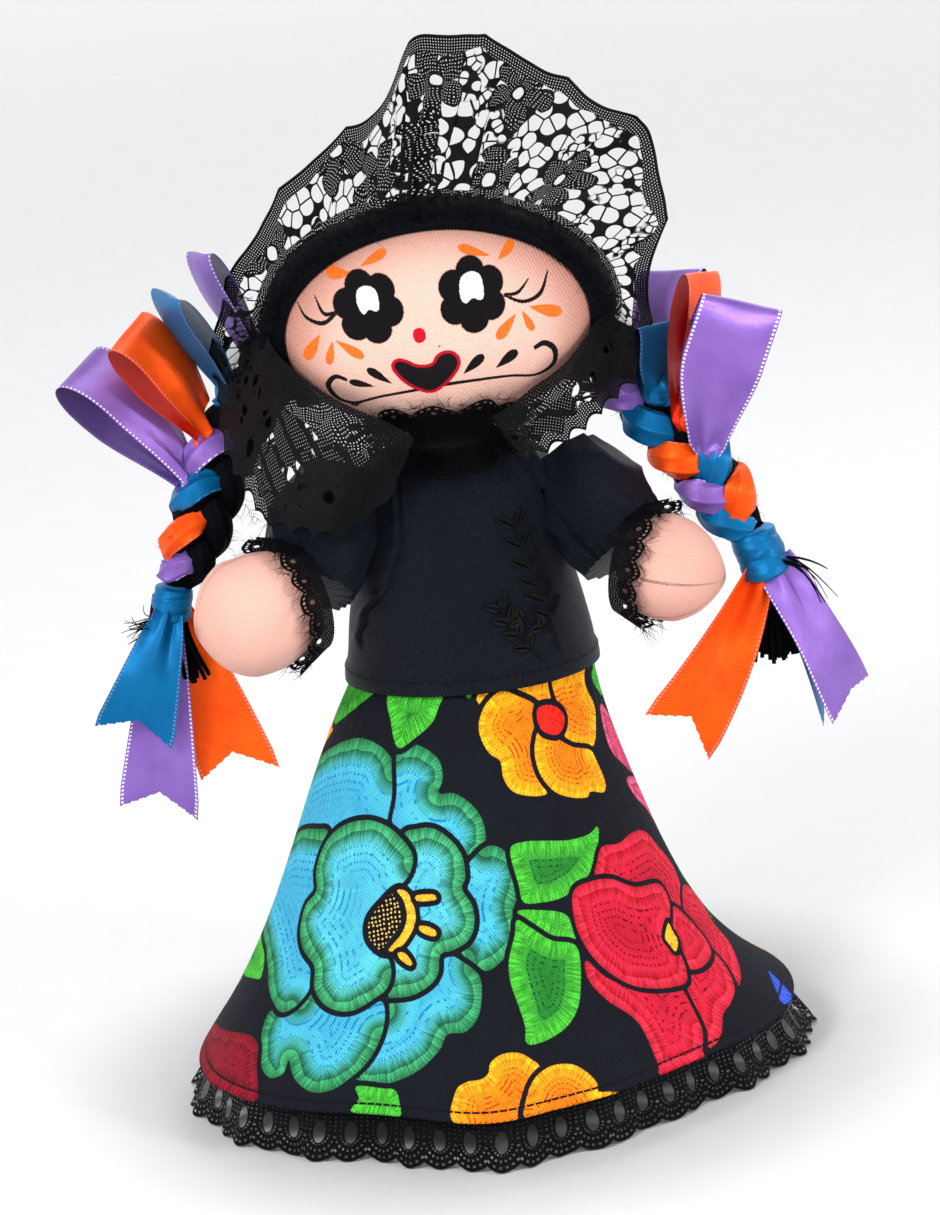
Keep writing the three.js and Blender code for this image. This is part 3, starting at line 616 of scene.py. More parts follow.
def edge_distance(points, outline, reach=3.0, heart=None):
    """Distance from each point to a closed outline, positive inside it, and the length along the
    outline to the nearest place. Farther out than reach, it is -reach. A point is inside if a ray
    from it crosses the outline an odd number of times. If the flower's heart is given, the third
    number is the distance to those sides alone that look away from it."""
    distance, along, rim = (np.full(len(points), value) for value in (-reach, 0.0, 0.0))
    low, high = outline.min(0) - reach, outline.max(0) + reach
    near = np.flatnonzero(((points > low) & (points < high)).all(1))
    if not len(near):
        return distance, along, rim
    p, a, b = points[near][:, None], outline[None], np.roll(outline, -1, 0)[None]
    edge = b - a
    length = np.maximum(np.linalg.norm(edge, axis=-1), 1e-6)
    share = np.clip(((p - a) * edge).sum(-1) / length ** 2, 0, 1)
    gap = np.linalg.norm(p - a - share[..., None] * edge, axis=-1)
    nearest = gap.argmin(1)
    pick = (np.arange(len(near)), nearest)
    start = np.concatenate([[0], np.cumsum(length[0])[:-1]])
    crossing = ((a[..., 1] > p[..., 1]) != (b[..., 1] > p[..., 1])) & (
        p[..., 0] < a[..., 0] + (p[..., 1] - a[..., 1]) * edge[..., 0]
        / np.where(edge[..., 1] == 0, 1e-9, edge[..., 1]))
    inside = crossing.sum(1) % 2 == 1
    distance[near] = np.maximum(np.where(inside, gap[pick], -gap[pick]), -reach)
    if heart is not None:
        ahead = np.roll(outline, -1, 0)
        turns_left = np.sign((outline[:, 0] * ahead[:, 1] - outline[:, 1] * ahead[:, 0]).sum())
        out = np.stack([edge[0, :, 1], -edge[0, :, 0]], -1) * turns_left
        faces_out = (unit(out) * unit((a + b)[0] / 2 - np.asarray(heart))).sum(-1) > 0.25
        nearest = np.where(faces_out, gap, 1e6).argmin(1)
        pick = (np.arange(len(near)), nearest)
    rim[near] = gap[pick]
    along[near] = start[nearest] + share[pick] * length[0][nearest]
    return distance, along, rim


# The hearts of the flowers, which their petals' coloured rims look away from
HEARTS = {"turquoise": (-31, 143), "turquoise over": (-31, 143), "yellow": (25.5, 89), "orange": (4, 208),
          "pink": (99, 101), "red": (73, 152)}


def turned(outline, degrees):
    """An outline moved round the skirt, which turns it about the cone's tip on the flat cut."""
    a = math.radians(degrees) * CONE_SINE
    x, y = np.asarray(outline, float).T
    return np.stack([x * math.cos(a) + y * math.sin(a), y * math.cos(a) - x * math.sin(a)], -1)


# %% Painting the skirt
cut = flat_cut(angle_grid, down_grid).reshape(-1, 2)
inner_cut = flat_cut(turn_angles, turn_downs).reshape(-1, 2)
cut = np.concatenate([cut, inner_cut])
BLEED = 0.8                                 # the print reaches this far past the drawn outline
inside = np.full(len(cut), -3.0)
along, depth = np.zeros(len(cut)), np.zeros(len(cut))
kind_of = np.zeros(len(cut), int)
kinds = list(TINTS)
FINE = {"yellow": 1.6, "orange": 1.6, "leaf": 1.25, "pink": 1.3}       # how much narrower their bands are
FLOWER = ("turquoise", "turquoise over", "seeds", "gold")
BACK = [                                    # degrees round the skirt, and the kinds that come again
    (190, FLOWER), (-170, FLOWER), (-202, ("red", "gold")), (98, ("yellow", "centre")),
    (-150, ("yellow", "centre")), (118, ("orange",)), (-122, ("orange",)), (172, ("leaf",)),
    (-188, ("leaf",)), (75, ("pink",)), (-215, ("pink",))]
copies = [(turn, kind, outlines) for turn, wanted in BACK for kind, outlines in PRINT if kind in wanted]
copies += [(0, kind, outlines) for kind, outlines in PRINT]
for turn, kind, outlines in copies:
    for outline in outlines:
        heart = turned([HEARTS[kind]], turn)[0] if kind in HEARTS else None
        distance, place, rim = edge_distance(cut, turned(closed_curve(outline), turn), heart=heart)
        near = distance > -3
        distance = distance + BLEED
        over = distance > 0
        beside = np.where(inside <= 0, np.maximum(inside, distance), np.minimum(inside, -distance))
        beside = np.where(near, beside, inside)
        inside = np.where(over, distance, beside)
        along, depth = np.where(over, place, along), np.where(over, (rim + BLEED) * FINE.get(kind, 1), depth)
        kind_of = np.where(over, kinds.index(kind), kind_of)
tint_table = np.array([[colour(c)[:3] for c in TINTS[kind]] for kind in kinds])
# a point of the ground next to a petal takes the petal's colours, so that none bleeds in
printed = inside.reshape(-1, AROUND + 1) > 0
print("printed share of the cloth:", round(float((inside > 0).mean()), 2))


def spread_kinds(kind, printed, rounds=3):
    """Gives bare points the kind of a printed neighbour in the grid, a few cells deep."""
    kind, printed = kind.copy(), printed.copy()
    for _ in range(rounds):
        for axis, step in ((0, 1), (0, -1), (1, 1), (1, -1)):
            other, there = np.roll(kind, step, axis), np.roll(printed, step, axis)
            take = ~printed & there
            kind[take], printed[take] = other[take], True
    return kind


kind_of = spread_kinds(kind_of.reshape(-1, AROUND + 1), printed).ravel()
tints = tint_table[kind_of]
is_seed = (kind_of == kinds.index("seeds")).astype(float)

# %% The printed canvas
def printed_canvas():
    """Coarse canvas with a printed flower pattern: bands of two colours by turns along each petal's
    outer edge, hatched across, a third colour within them with rows of dashes, and black between. Each
    band starts dark and grows light inwards, so that its edge shows as a line."""
    material, surface, here = new_material("printed_canvas")
    x, y = stored(here, "cut", 0), stored(here, "cut", 1)
    flat = joined(x, y)
    depth = stored(here, "rim") + (noise(flat, 0.9) - 0.5) * 0.5
    run = stored(here, "along")
    edge, band, heart, stroke = (here.new("ShaderNodeAttribute", {"attribute_name": f"{n}_tint"}, {}, 0)
                                 for n in ("edge", "band", "heart", "stroke"))
    wobble = (noise(joined(run * 0.08, 0.0), 1.0, 1.0) - 0.5) * 4
    strokes = noise(joined(run * 1.5, depth * 0.14), 1.0, 1.0).smooth(0.3, 0.72)
    inward = depth + wobble
    band_wide = 3.9
    ramp = inward.most(0.05).beyond(band_wide).smooth(-0.1, 1.0)
    tint = blend(ramp, edge, blend(inward.smooth(band_wide - 0.1, band_wide + 0.1) * 0.55, band, heart))
    within = inward.smooth(band_wide * 2 - 0.3, band_wide * 2 + 0.4)
    tint = blend(within, tint, blend(inward.smooth(9.0, 15.0) * 0.25, heart, stroke))
    tint = tinted(tint, 0.60, 1.36, strokes * (1 - within * 0.7) + within * 0.4)
    rows = abs((depth + wobble * 0.6).beyond(2.4) - 0.5).smooth(0.12, 0.2)
    dashes = (run + noise(flat, 0.3) * 5).sine(2.3).smooth(-0.1, 0.3)
    lines = (1 - rows) * dashes * depth.smooth(7.6, 8.6) * (1 - depth.smooth(14.0, 20.0) * 0.7)
    tint = blend(lines * 0.95, tint, stroke)
    grains = here.new("ShaderNodeTexVoronoi", {"voronoi_dimensions": "2D"}, {"Vector": flat, "Scale": 0.72, "Randomness": 0.35})
    seeds = (1 - grains.smooth(0.2, 0.3)) * stored(here, "seed") * stored(here, "inside").smooth(0.9, 1.4)
    tint = blend(seeds, tint, stroke)
    ground = blend(noise(flat, 0.12), "0B0C13", "13161F")
    painted = stored(here, "inside").smooth(0.7, 1.0)
    tint = blend(painted, ground, tint)
    stitch_line = 1 - abs(stored(here, "from_edge") - 2.8).smooth(0.18, 0.4)
    stitches = stitch_line * stored(here, "around_mm").beyond(2.6).smooth(0.1, 0.2)
    tint = blend(stitches, tint, "0A0A0E")
    weave = woven(x + y * 0.35, y - x * 0.35, 0.6)
    fleck = noise(flat, 3.0)
    tint = tinted(tint, 0.48, 1.38, weave * 0.7 + fleck * 0.3)
    relief = weave * 0.6 + noise(flat, 0.25) * 0.5 - stitch_line * 0.9 + stitches * 0.5
    connect(surface, Base_Color=tint, Roughness=weave * -0.15 + 0.85, Specular_IOR_Level=0.1, Normal=bumped(relief, 0.3))
    return material


edge_gap = np.concatenate([(1 - down_grid).ravel(), (1 - turn_downs).ravel()]) * slant[-1]
around_mm = np.concatenate([angle_grid.ravel(), turn_angles.ravel()]) * EDGE_RADIUS
skirt = make_piece("flowered_skirt", skirt_points.reshape(-1, 3),
                   grid_faces(DOWN + 1 + TURNED_IN, AROUND + 1),
                   {"cut": np.column_stack([cut, np.zeros(len(cut))]), "inside": inside, "along": along, "rim": depth,
                    "edge_tint": tints[:, 0], "band_tint": tints[:, 1], "heart_tint": tints[:, 2],
                    "stroke_tint": tints[:, 3], "seed": is_seed, "from_edge": edge_gap, "around_mm": around_mm})
skirt_area = (TIP + slant[-1]) ** 2 - TIP ** 2
dress(skirt, printed_canvas(), "skirt")
skirt_area * math.pi * CONE_SINE * 1.12 / 1e6

# %% [markdown]
# ## Hem lace
# A strip of eyelet lace is gathered under the edge of the skirt. Each eyelet is an oval hole with
# rows of chained thread round its lower half, so the lower edge is scalloped. The strip stands out
# at both sides of the doll and reaches the table. Its threads are thinner than a millimetre, so the
# strip is one waving sheet, and the material cuts the holes.

# %% The hem lace
FRILL_TOP = 20.5
FRILL_WAVES, FRILL_DEPTH, SIDE_FLARE = 19, 1.4, 7
FRILL_RADII = [EDGE_RADIUS - 1.0, EDGE_RADIUS - 3.9, EDGE_RADIUS - 6.85]     # at 0, 9.5 and 20.5 mm up
SCALLOP = 10.0                              # from one eyelet to the next


def frill(angle, height):
    """The lace under the skirt's edge: it follows the skirt's folds and waves more towards its edge."""
    loose = 1 - height / FRILL_TOP
    down = np.minimum(1, (WAIST_Z - height) / (WAIST_Z - EDGE_Z))
    wave = FRILL_DEPTH * np.sin(FRILL_WAVES * angle) + SIDE_FLARE * np.cos(angle) ** 20
    crimp = 0.5 * np.sin(57 * angle + 3 * np.sin(4 * angle)) + 0.4 * wavy(angle * 14, height / 9, 8)
    plain = np.interp(height, [0, 9.5, FRILL_TOP], FRILL_RADII)
    radius = plain + fold(angle, down) + (wave + crimp) * loose
    return np.stack([radius * np.cos(angle), radius * np.sin(angle), height], -1)


def lace_thread(here):
    """The colour of black cotton thread, with a little wear."""
    spot = here.new("ShaderNodeTexCoord", {}, {}, "Object")
    return blend(noise(spot, 900.0), "020203", "0A0A0F")


def eyelet_lace():
    """Openwork of chained thread. In each repeat, the distance from a post above the eyelet and
    from its centre below gives U-shaped rows; thin rings and spokes of thread stay, and the cells
    between them, the eyelet, and all beyond the last row are holes."""
    material, surface, here = new_material("eyelet_lace")
    x, drop = stored(here, "lace", 0), stored(here, "lace", 1)
    across = (x.beyond(SCALLOP) - 0.5) * SCALLOP
    below = (drop - 7.6).most(0.0)
    ring = (across * across + below * below) ** 0.5
    turn = across.math("ARCTAN2", across, below + 0.01)
    oval = ((across / 2.0) ** 2 + ((drop - 7.4) / 3.1) ** 2) ** 0.5
    eyelet = 1 - oval.smooth(0.93, 1.03)
    row = (ring - 2.3).beyond(1.75)
    row_thread = 1 - abs(row - 0.5).smooth(0.0, 1.0)
    ring_hole = 1 - abs(row - 0.5).smooth(0.12, 0.22)
    spoke = (turn * 3.4).beyond(1.0)
    side = (drop * 0.8).beyond(1.0)
    cell = below.smooth(0.0, 0.4)
    spoke_hole = (1 - abs(spoke - 0.5).smooth(0.16, 0.26)) * cell + (1 - abs(side - 0.5).smooth(0.16, 0.26)) * (1 - cell)
    rim = (oval - 1.0).smooth(0.1, 0.2)
    net = ring_hole * spoke_hole * rim
    beyond = (ring - 8.0).smooth(-0.08, 0.08)
    top = 1 - drop.smooth(2.2, 2.4)
    top_net = (1 - abs(x.beyond(1.3) - 0.5).smooth(0.14, 0.22)) * (1 - abs(drop.beyond(1.2) - 0.5).smooth(0.14, 0.22))
    hole = (eyelet.most(net * (1 - top)).most(top * top_net * 0.9)).most(beyond)
    alpha = 1 - hole.least(1.0)
    relief = row_thread * 0.5 + (x * 1.0).sine(0.6) * 0.2 + 0.3
    connect(surface, Base_Color=lace_thread(here), Roughness=0.62, Specular_IOR_Level=0.06,
            Alpha=alpha, Normal=bumped(relief, 0.3))
    return material


around = np.linspace(0, 2 * np.pi, 721)
angle_grid, height_grid = np.meshgrid(around, np.linspace(FRILL_TOP, 0.0, 28))
lace_points = frill(angle_grid, height_grid)
lace_run = np.concatenate([[0], np.cumsum(np.linalg.norm(np.diff(lace_points[-8], axis=0), axis=1))])
repeats = round(lace_run[-1] / SCALLOP)
lace_run *= repeats * SCALLOP / lace_run[-1]
drops = EDGE_Z - height_grid
lace_cloth = np.stack([np.broadcast_to(lace_run, drops.shape), drops, 0 * drops], -1)
hem_lace = make_piece("eyelet_hem_lace", lace_points.reshape(-1, 3), grid_faces(*drops.shape, turned=True),
                      {"lace": lace_cloth.reshape(-1, 3)})
dress(hem_lace, eyelet_lace(), "hem_lace")
print(repeats, "eyelets in", round(lace_run[-1]), "mm of lace")

# %% [markdown]
# ## Head
# The head is a ball of jersey stuffed tight and a little wider than high. The knit's fine ribs run
# from top to bottom. The face is painted on by hand: two black flowers for eyes, each with a white
# arch, lashes, orange drops, a red nose, a black mouth edged in red, and a long curled smile. As on
# the skirt, the outlines are drawn flat, here as seen from the front in mm from the head's centre,
# and each point of the head keeps its distance from them.

# %% The face paint's outlines
HEAD = np.array([2.0, 2.0, 231.5])
HEAD_HALF = np.array([48.0, 35.0, 31.5])


def petal_flower(x, z, reach, turn):
    """A flower of six round petals: an outline whose distance from the middle swells six times."""
    t = np.linspace(0, 2 * np.pi, 73)[:-1]
    r = reach * (0.80 + 0.20 * np.abs(np.sin(3 * (t - math.radians(turn)))) ** 0.75)
    return np.stack([x + r * np.cos(t), z + r * np.sin(t)], -1)


def drop(tip, fat, width):
    """A drop of paint, pointed at the tip and round at the fat end."""
    tip, fat = np.array(tip, float), np.array(fat, float)
    t = np.linspace(0, 2 * np.pi, 33)[:-1]
    along = (1 - np.cos(t)) / 2
    aside = width / 2 * np.sin(t) * np.sin(t / 2) ** 1.5
    axis = fat - tip
    side = np.array([-axis[1], axis[0]]) / np.linalg.norm(axis)
    return tip + along[:, None] * axis + aside[:, None] * side


def brush_line(stations, widths):
    """The outline of a brush stroke along a curve through the stations, from thin to thick."""
    stations = np.asarray(stations, float)
    flat = np.column_stack([stations, np.zeros(len(stations))])
    share = np.linspace(0, 1, 12 * len(stations))
    middle = catmull_rom(flat, share)[:, :2]
    heading = unit(np.gradient(middle, axis=0))
    side = np.stack([-heading[:, 1], heading[:, 0]], -1)
    half = np.interp(share, np.linspace(0, 1, len(widths)), widths)[:, None] / 2
    return np.concatenate([middle + half * side, (middle - half * side)[::-1]])


FACE = {
    "flowers": [petal_flower(-19.6, 12.0, 10.4, 20), petal_flower(10.9, 13.0, 10.4, 0)],
    "whites": [
        closed_curve([(-22.9, 14.8), (-22.2, 17.0), (-20, 17.9), (-17.6, 17.3), (-16.5, 15.2), (-16.4, 12.0),
                      (-17.4, 11.0), (-19.4, 11.6), (-21, 10.3), (-22.4, 12.0)]),
        closed_curve([(7.4, 15.6), (8.2, 18.2), (10.8, 19.4), (13.4, 18.6), (14.4, 16), (14.3, 12.6),
                      (13.2, 11.6), (11.0, 12.4), (8.8, 11.2), (7.5, 12.8)])],
    "drops": [
        drop((-23.4, 20.9), (-31.2, 20.8), 4.6), drop((-21.4, 22.4), (-12.8, 26.2), 3.4),
        drop((17.8, 22.3), (8.2, 25.6), 3.3), drop((19.2, 20.9), (24.8, 24.6), 4.0),
        drop((-34.4, 4.9), (-39.8, -3.6), 4.8), drop((-31.0, 3.2), (-33.0, -4.6), 3.5),
        drop((-30.6, 3.2), (-22.4, -2.2), 4.4),
        drop((23.6, 6.6), (17.0, -0.2), 4.8), drop((25.0, 7.2), (28.0, 0.4), 3.3),
        drop((26.8, 7.8), (37.0, 3.6), 5.0)],
    "lines": [
        brush_line([(-29.0, 10.7), (-33.4, 7.7), (-38.2, 9.0), (-40.6, 12.8)], [0.9, 1.3, 1.0, 0.4]),
        brush_line([(-29.0, 10.9), (-32.6, 10.3), (-35.2, 15.0)], [0.9, 1.2, 0.5]),
        brush_line([(20.3, 11.9), (26.0, 9.2), (31.0, 10.4), (34.2, 15.8)], [0.7, 1.1, 1.3, 0.5]),
        brush_line([(20.3, 12.2), (24.2, 11.9), (28.2, 15.0)], [0.7, 1.1, 0.5]),
        brush_line([(-28.0, -9.4), (-31.4, -8.4), (-33.9, -11.6), (-31.8, -16.0), (-27.6, -17.6),
                    (-18.6, -15.0), (-9.2, -13.4), (1, -12.2), (9.9, -12.0), (20, -12.4), (28.0, -13.6),
                    (33.0, -11.0), (33.4, -6.4), (30.6, -4.0), (27.5, -5.0)],
                   [1.1, 1.5, 1.7, 1.4, 1.0, 0.9, 1.0, 1.2, 1.0, 0.9, 0.9, 1.4, 1.7, 1.8, 1.3]),
        brush_line([(-29, -17.4), (-26.6, -18.6), (-24.6, -17.6)], [0.4, 0.9, 0.4]),
        drop((-19.6, -11.6), (-27.6, -9.9), 3.4), drop((-14.6, -10.9), (-21.8, -5.6), 3.9),
        drop((5.8, -9.7), (12.6, -4.2), 4.4), drop((15.6, -9.2), (22.6, -4.6), 4.6)],
    "mouth": [closed_curve([
        (-3.9, -14.0), (-9.6, -11.2), (-13.2, -7.0), (-13.8, -4.6), (-12.2, -3.4), (-9.6, -4.2), (-7.6, -5.4),
        (-4.6, -5.9), (-2.2, -5.2), (-0.8, -3.2), (1.2, -2.2), (3.6, -2.6), (5.0, -4.6), (4.2, -7.6),
        (0.6, -11.6)])],
    "nose": [closed_curve([(-7.4, 3.6), (-6.8, 1.9), (-5.4, 1.4), (-4.0, 2.2), (-3.6, 3.8), (-4.3, 5.4),
                           (-5.6, 5.9), (-7.0, 5.2)])],
}
print({name: len(outlines) for name, outlines in FACE.items()})

# %% The head
def head_surface(angle, tilt, lift=0.0):
    """A point of a squashed ball: angle goes round the line of sight from +X, and tilt from the
    back of the head at 0 to the tip of the face at pi."""
    ring = np.sin(tilt)
    return HEAD + np.stack([(HEAD_HALF[0] + lift) * ring * np.cos(angle),
                            (HEAD_HALF[1] + lift) * np.cos(tilt),
                            (HEAD_HALF[2] + lift) * ring * np.sin(angle)], -1)


def stuffed_head():
    """The ball of jersey, from 40 degrees of tilt, which the hair covers, to the middle of the face.
    It is pulled in a little where the neck is sewn, and it is never quite even."""
    tilts = np.radians(np.concatenate([np.linspace(20, 80, 14), np.linspace(82, 179.6, 150)]))
    turns = np.linspace(0, 2 * np.pi, 361)[:-1]
    angle, tilt = np.meshgrid(turns, tilts)
    points = head_surface(angle, tilt)
    flat = points[..., [0, 2]] - HEAD[[0, 2]]
    lumps = 0.5 * wavy(flat[..., 0] / 13, flat[..., 1] / 13, 21) * smoothstep(tilt, 1.4, 2.2)
    seam = -0.9 * np.exp(-((flat[..., 1] + 29) / 4) ** 2) * np.exp(-(flat[..., 0] / 20) ** 2)
    outward = unit(points - HEAD)
    points = points + outward * (lumps + seam - 0.35)[..., None]
    points = points.reshape(-1, 3)
    flat = flat.reshape(-1, 2)
    values = {"flat": np.column_stack([flat, points[:, 1]])}
    for name, outlines in FACE.items():
        distances = [edge_distance(flat, outline)[0] for outline in outlines]
        values[name] = np.where(points[:, 1] < HEAD[1], np.max(distances, axis=0), -3.0)
    faces = grid_faces(len(tilts), len(turns), around=True, turned=True)
    return make_piece("stuffed_head", points, faces, values)


def jersey_finish(here, across, length, dark=0.86, tint_low="D9A796", tint_high="E6BBAC"):
    """Ribbed cotton knit in flesh colour: its tint, and a relief of ribs and stitches. across and
    length are in mm, across the ribs and along them."""
    spot = here.new("ShaderNodeTexCoord", {}, {}, "Object")
    warm = noise(spot, 22.0)
    tint = blend(warm, tint_low, tint_high)
    ribs = (across + length * 0.5).sine(0.9) * 0.5 + 0.5
    purls = (length + across.beyond(0.9).smooth(0.4, 0.6) * 0.45).sine(0.85) * 0.5 + 0.5
    knit = ribs * 0.65 + ribs * purls * 0.35
    return tinted(tint, dark, 1.06, knit), knit


def painted_jersey():
    """Flesh-coloured knit with brushed paint, whose edge follows the knit a little, and painted shade that darkens
    the face to brown towards its rim.
    """
    material, surface, here = new_material("painted_jersey")
    x, z = stored(here, "flat", 0), stored(here, "flat", 1)
    tint, knit = jersey_finish(here, x, z)
    flat = joined(x, z)
    # painted shade: towards the face's rim, at the sides and under the hair, the colour darkens to brown
    rim = ((x / 46) ** 2 + ((z + 2) / 37) ** 2) ** 0.5
    tint = blend(rim.smooth(0.58, 1.06) * 0.72, tint, "945244")
    rough_edge = (noise(flat, 2.2) - 0.5) * 0.25 + (knit - 0.5) * 0.12
    layer = {name: (stored(here, name) + rough_edge) for name in FACE}
    cover = noise(flat, 1.2)
    tint = blend(layer["drops"].smooth(-0.12, 0.12) * 0.97, tint, blend(cover, "D8480A", "EE7A22"))
    tint = blend(layer["nose"].smooth(-0.1, 0.12), tint, blend(cover, "A80A1A", "C21428"))
    tint = blend(layer["lines"].smooth(-0.1, 0.1), tint, "120E10")
    tint = blend((layer["flowers"] + 0.2).smooth(-0.12, 0.12) * 0.4, tint, "6E1B1E")
    tint = blend(layer["flowers"].smooth(-0.1, 0.1), tint, blend(cover, "060507", "100E11"))
    tint = blend(layer["whites"].smooth(-0.1, 0.12), tint, blend(cover, "BFC1CE", "DDDFE8"))
    tint = blend((layer["mouth"] + 0.75).smooth(-0.12, 0.12), tint, blend(cover, "96081A", "B81024"))
    tint = blend((layer["mouth"] - 0.25).smooth(-0.1, 0.12), tint, "121012")
    connect(surface, Base_Color=tint, Roughness=knit * 0.1 + 0.85, Subsurface_Weight=0.06, Subsurface_Scale=0.002,
            Specular_IOR_Level=0.1, Normal=bumped(knit * 0.7 + noise(flat, 0.35) * 0.5, 0.24))
    return material


head = stuffed_head()
dress(head, painted_jersey(), "head")

# %% [markdown]
# ## Blouse and sleeves
# The blouse is black cotton twill, sewn tight over the stuffed body. Its lower edge is turned in and
# stitched over the skirt's waist. The sleeves are set in at the shoulders with a raised seam, and
# they are puffed. A stuffed form is a smooth loft here, with low bulges, and with creases that run
# from the armholes.

# %% Tubes
def smooth_curve(values, places):
    """A smooth curve through equally spaced values, read at places from 0 to 1."""
    stations = np.column_stack([np.arange(len(values)), values, np.zeros(len(values))]).astype(float)
    return catmull_rom(stations, places)[:, 1]


def path_frames(path):
    """Along a path of points: its heading, and two directions square to it that turn as little as they
    can. Each pair is the one before, with the heading's part taken out."""
    heading = unit(np.gradient(path, axis=0))
    side = np.zeros_like(heading)
    first = np.cross(heading[0], [0, 0, 1.0])
    side[0] = unit(first if np.linalg.norm(first) > 0.1 else np.array([1.0, 0, 0]))
    for i in range(1, len(path)):
        side[i] = unit(side[i - 1] - heading[i] * (side[i - 1] @ heading[i]))
    return heading, side, np.cross(heading, side)


def tube(path, radius, sides):
    """A grid of points round a path, and the angle of each: radius is one number a ring, or a grid."""
    heading, side, lift = path_frames(path)
    angle = np.linspace(0, 2 * np.pi, sides + 1)[:-1]
    radius = np.broadcast_to(np.asarray(radius, float).reshape(len(path), -1), (len(path), sides))
    points = (path[:, None] + radius[..., None] * (np.cos(angle)[None, :, None] * side[:, None]
                                                 + np.sin(angle)[None, :, None] * lift[:, None]))
    return points, np.broadcast_to(angle, radius.shape)


def closed_faces(rows, columns):
    """Faces of a tube, with one more face row to a middle point at each end: numbers rows*columns for
    the first end and the next for the last. A face there has its last corner twice over."""
    sides = grid_faces(rows, columns, around=True)
    j = np.arange(columns)
    low = np.stack([j, (j + 1) % columns, np.full(columns, rows * columns)], -1)
    top = (rows - 1) * columns
    high = np.stack([top + (j + 1) % columns, top + j, np.full(columns, rows * columns + 1)], -1)
    triangles = np.concatenate([sides[:, [0, 1, 2]], sides[:, [0, 2, 3]], low[:, ::-1], high[:, ::-1]])
    return triangles[:, ::-1]


def closed_tube(name, grid, values=None):
    """A closed form through the rings of a grid, rounded off by a middle point at each end."""
    rows, columns = grid.shape[:2]
    points = np.concatenate([grid.reshape(-1, 3), grid[:1].mean(1), grid[-1:].mean(1)])
    values = {key: np.concatenate([v.reshape(rows * columns, -1), v[0].mean(0).reshape(1, -1),
                                   v[-1].mean(0).reshape(1, -1)]) for key, v in (values or {}).items()}
    values = {key: v if v.shape[1] > 1 else v[:, 0] for key, v in values.items()}
    return make_piece(name, points, closed_faces(rows, columns), values)


# %% The blouse
BODY_SECTIONS = np.array([                  # height, half width, half depth
    [127, 38.5, 31], [142, 36, 28.5], [158, 33, 26.5], [174, 31, 25],
    [186, 29.5, 23], [192, 25, 18.5], [195, 18, 14], [199.4, 12, 10]], float)


ARMHOLES = {                                # x and height of the seams at the front, from below
    "right": [(-30.5, 141), (-27, 150), (-21, 156), (-15, 172), (-14, 193)],
    "left": [(39.5, 145), (37.7, 152), (33.5, 167), (25.5, 188.5)]}


def twill(name="black_twill"):
    """Black cotton: a plain weave whose threads catch a bluish light, a little lint, and a soft sheen."""
    material, surface, here = new_material(name)
    x, y = stored(here, "cloth", 0), stored(here, "cloth", 1)
    ribs = woven(x + y * 0.2, y, 0.48)
    flat = joined(x, y)
    lint = noise(flat, 0.35, 4.0).smooth(0.62, 0.85)
    tint = blend(ribs * 0.65 + noise(flat, 0.08) * 0.35, "030407", "10131C")
    tint = blend(lint * 0.35, tint, "272C38")
    connect(surface, Base_Color=tint, Roughness=ribs * -0.2 + 0.52, Specular_IOR_Level=0.19,
            Specular_Tint=(0.62, 0.78, 1.0, 1.0), Normal=bumped(ribs * 0.9 + noise(flat, 0.25) * 0.5, 0.5))
    return material


def sewn_body():
    """The blouse over the body, as rings whose half width and depth follow the body's sections. Soft
    bulges stand out between the seams. The lowest 5 mm are the turned hem, which hangs over the top of
    the skirt, and within it the stuffed body is closed."""
    heights = np.concatenate([[127.6, 125.7], np.linspace(125.4, 192, 134), np.linspace(192.5, 199.4, 14)])
    angle, z = np.meshgrid(np.linspace(0, 2 * np.pi, 421)[:-1], heights)
    half_x, half_y = body_halves(z)
    x = BODY_X + half_x * np.cos(angle)
    across = angle * 33
    front = smoothstep(-np.sin(angle), 0.1, 0.5)
    bulge = 0.7 * wavy(across / 12, z / 14, 31) * smoothstep(z, 129, 136)
    bulge = bulge + 0.45 * (1 - np.abs(wavy(across / 9 + z / 20, z / 16, 33, 2))) ** 3 * smoothstep(z, 150, 175)
    hem = 0.4 * (1 - smoothstep(z, 130.4, 131.2))
    turned_in = np.array([2.2, 1.3] + [0] * (len(heights) - 2))[:, None]
    seam = 0
    for side, stations in ARMHOLES.items():
        xs, zs = np.array(stations, float).T
        line = np.interp(z, zs, xs)
        beyond = (line - x) if side == "right" else (x - line)
        shown = front * smoothstep(z, 136, 141)
        seam = seam + shown * (0.7 * np.exp(-((beyond - 1.4) / 1.0) ** 2) - 0.9 * np.exp(-(beyond / 0.5) ** 2)
                               + 0.35 * np.sin(z * 0.9 + beyond * 0.5) * np.exp(-(beyond / 4) ** 2))
    out = bulge + hem + seam - 0.4 - turned_in
    points = np.stack([BODY_X + (half_x + out) * np.cos(angle), (half_y + out) * np.sin(angle), z], -1)
    return closed_tube("twill_blouse", points[:, ::-1], {"cloth": np.stack([across, z, 0 * z], -1)[:, ::-1]})


def body_halves(z):
    """The body's half width and half depth at a height, on a smooth curve through its sections."""
    profile = catmull_rom(BODY_SECTIONS, np.linspace(0, 1, 200))
    return (np.interp(z, profile[:, 0], profile[:, k]) for k in (1, 2))


black_twill = twill()
blouse = sewn_body()
dress(blouse, black_twill, "blouse")

# %% [markdown]
# The arms are stuffed tubes: black sleeves to the wrist, and mitten hands of the same jersey as the
# head. A hand is two pieces of knit sewn round their edge, so a seam runs over its end.

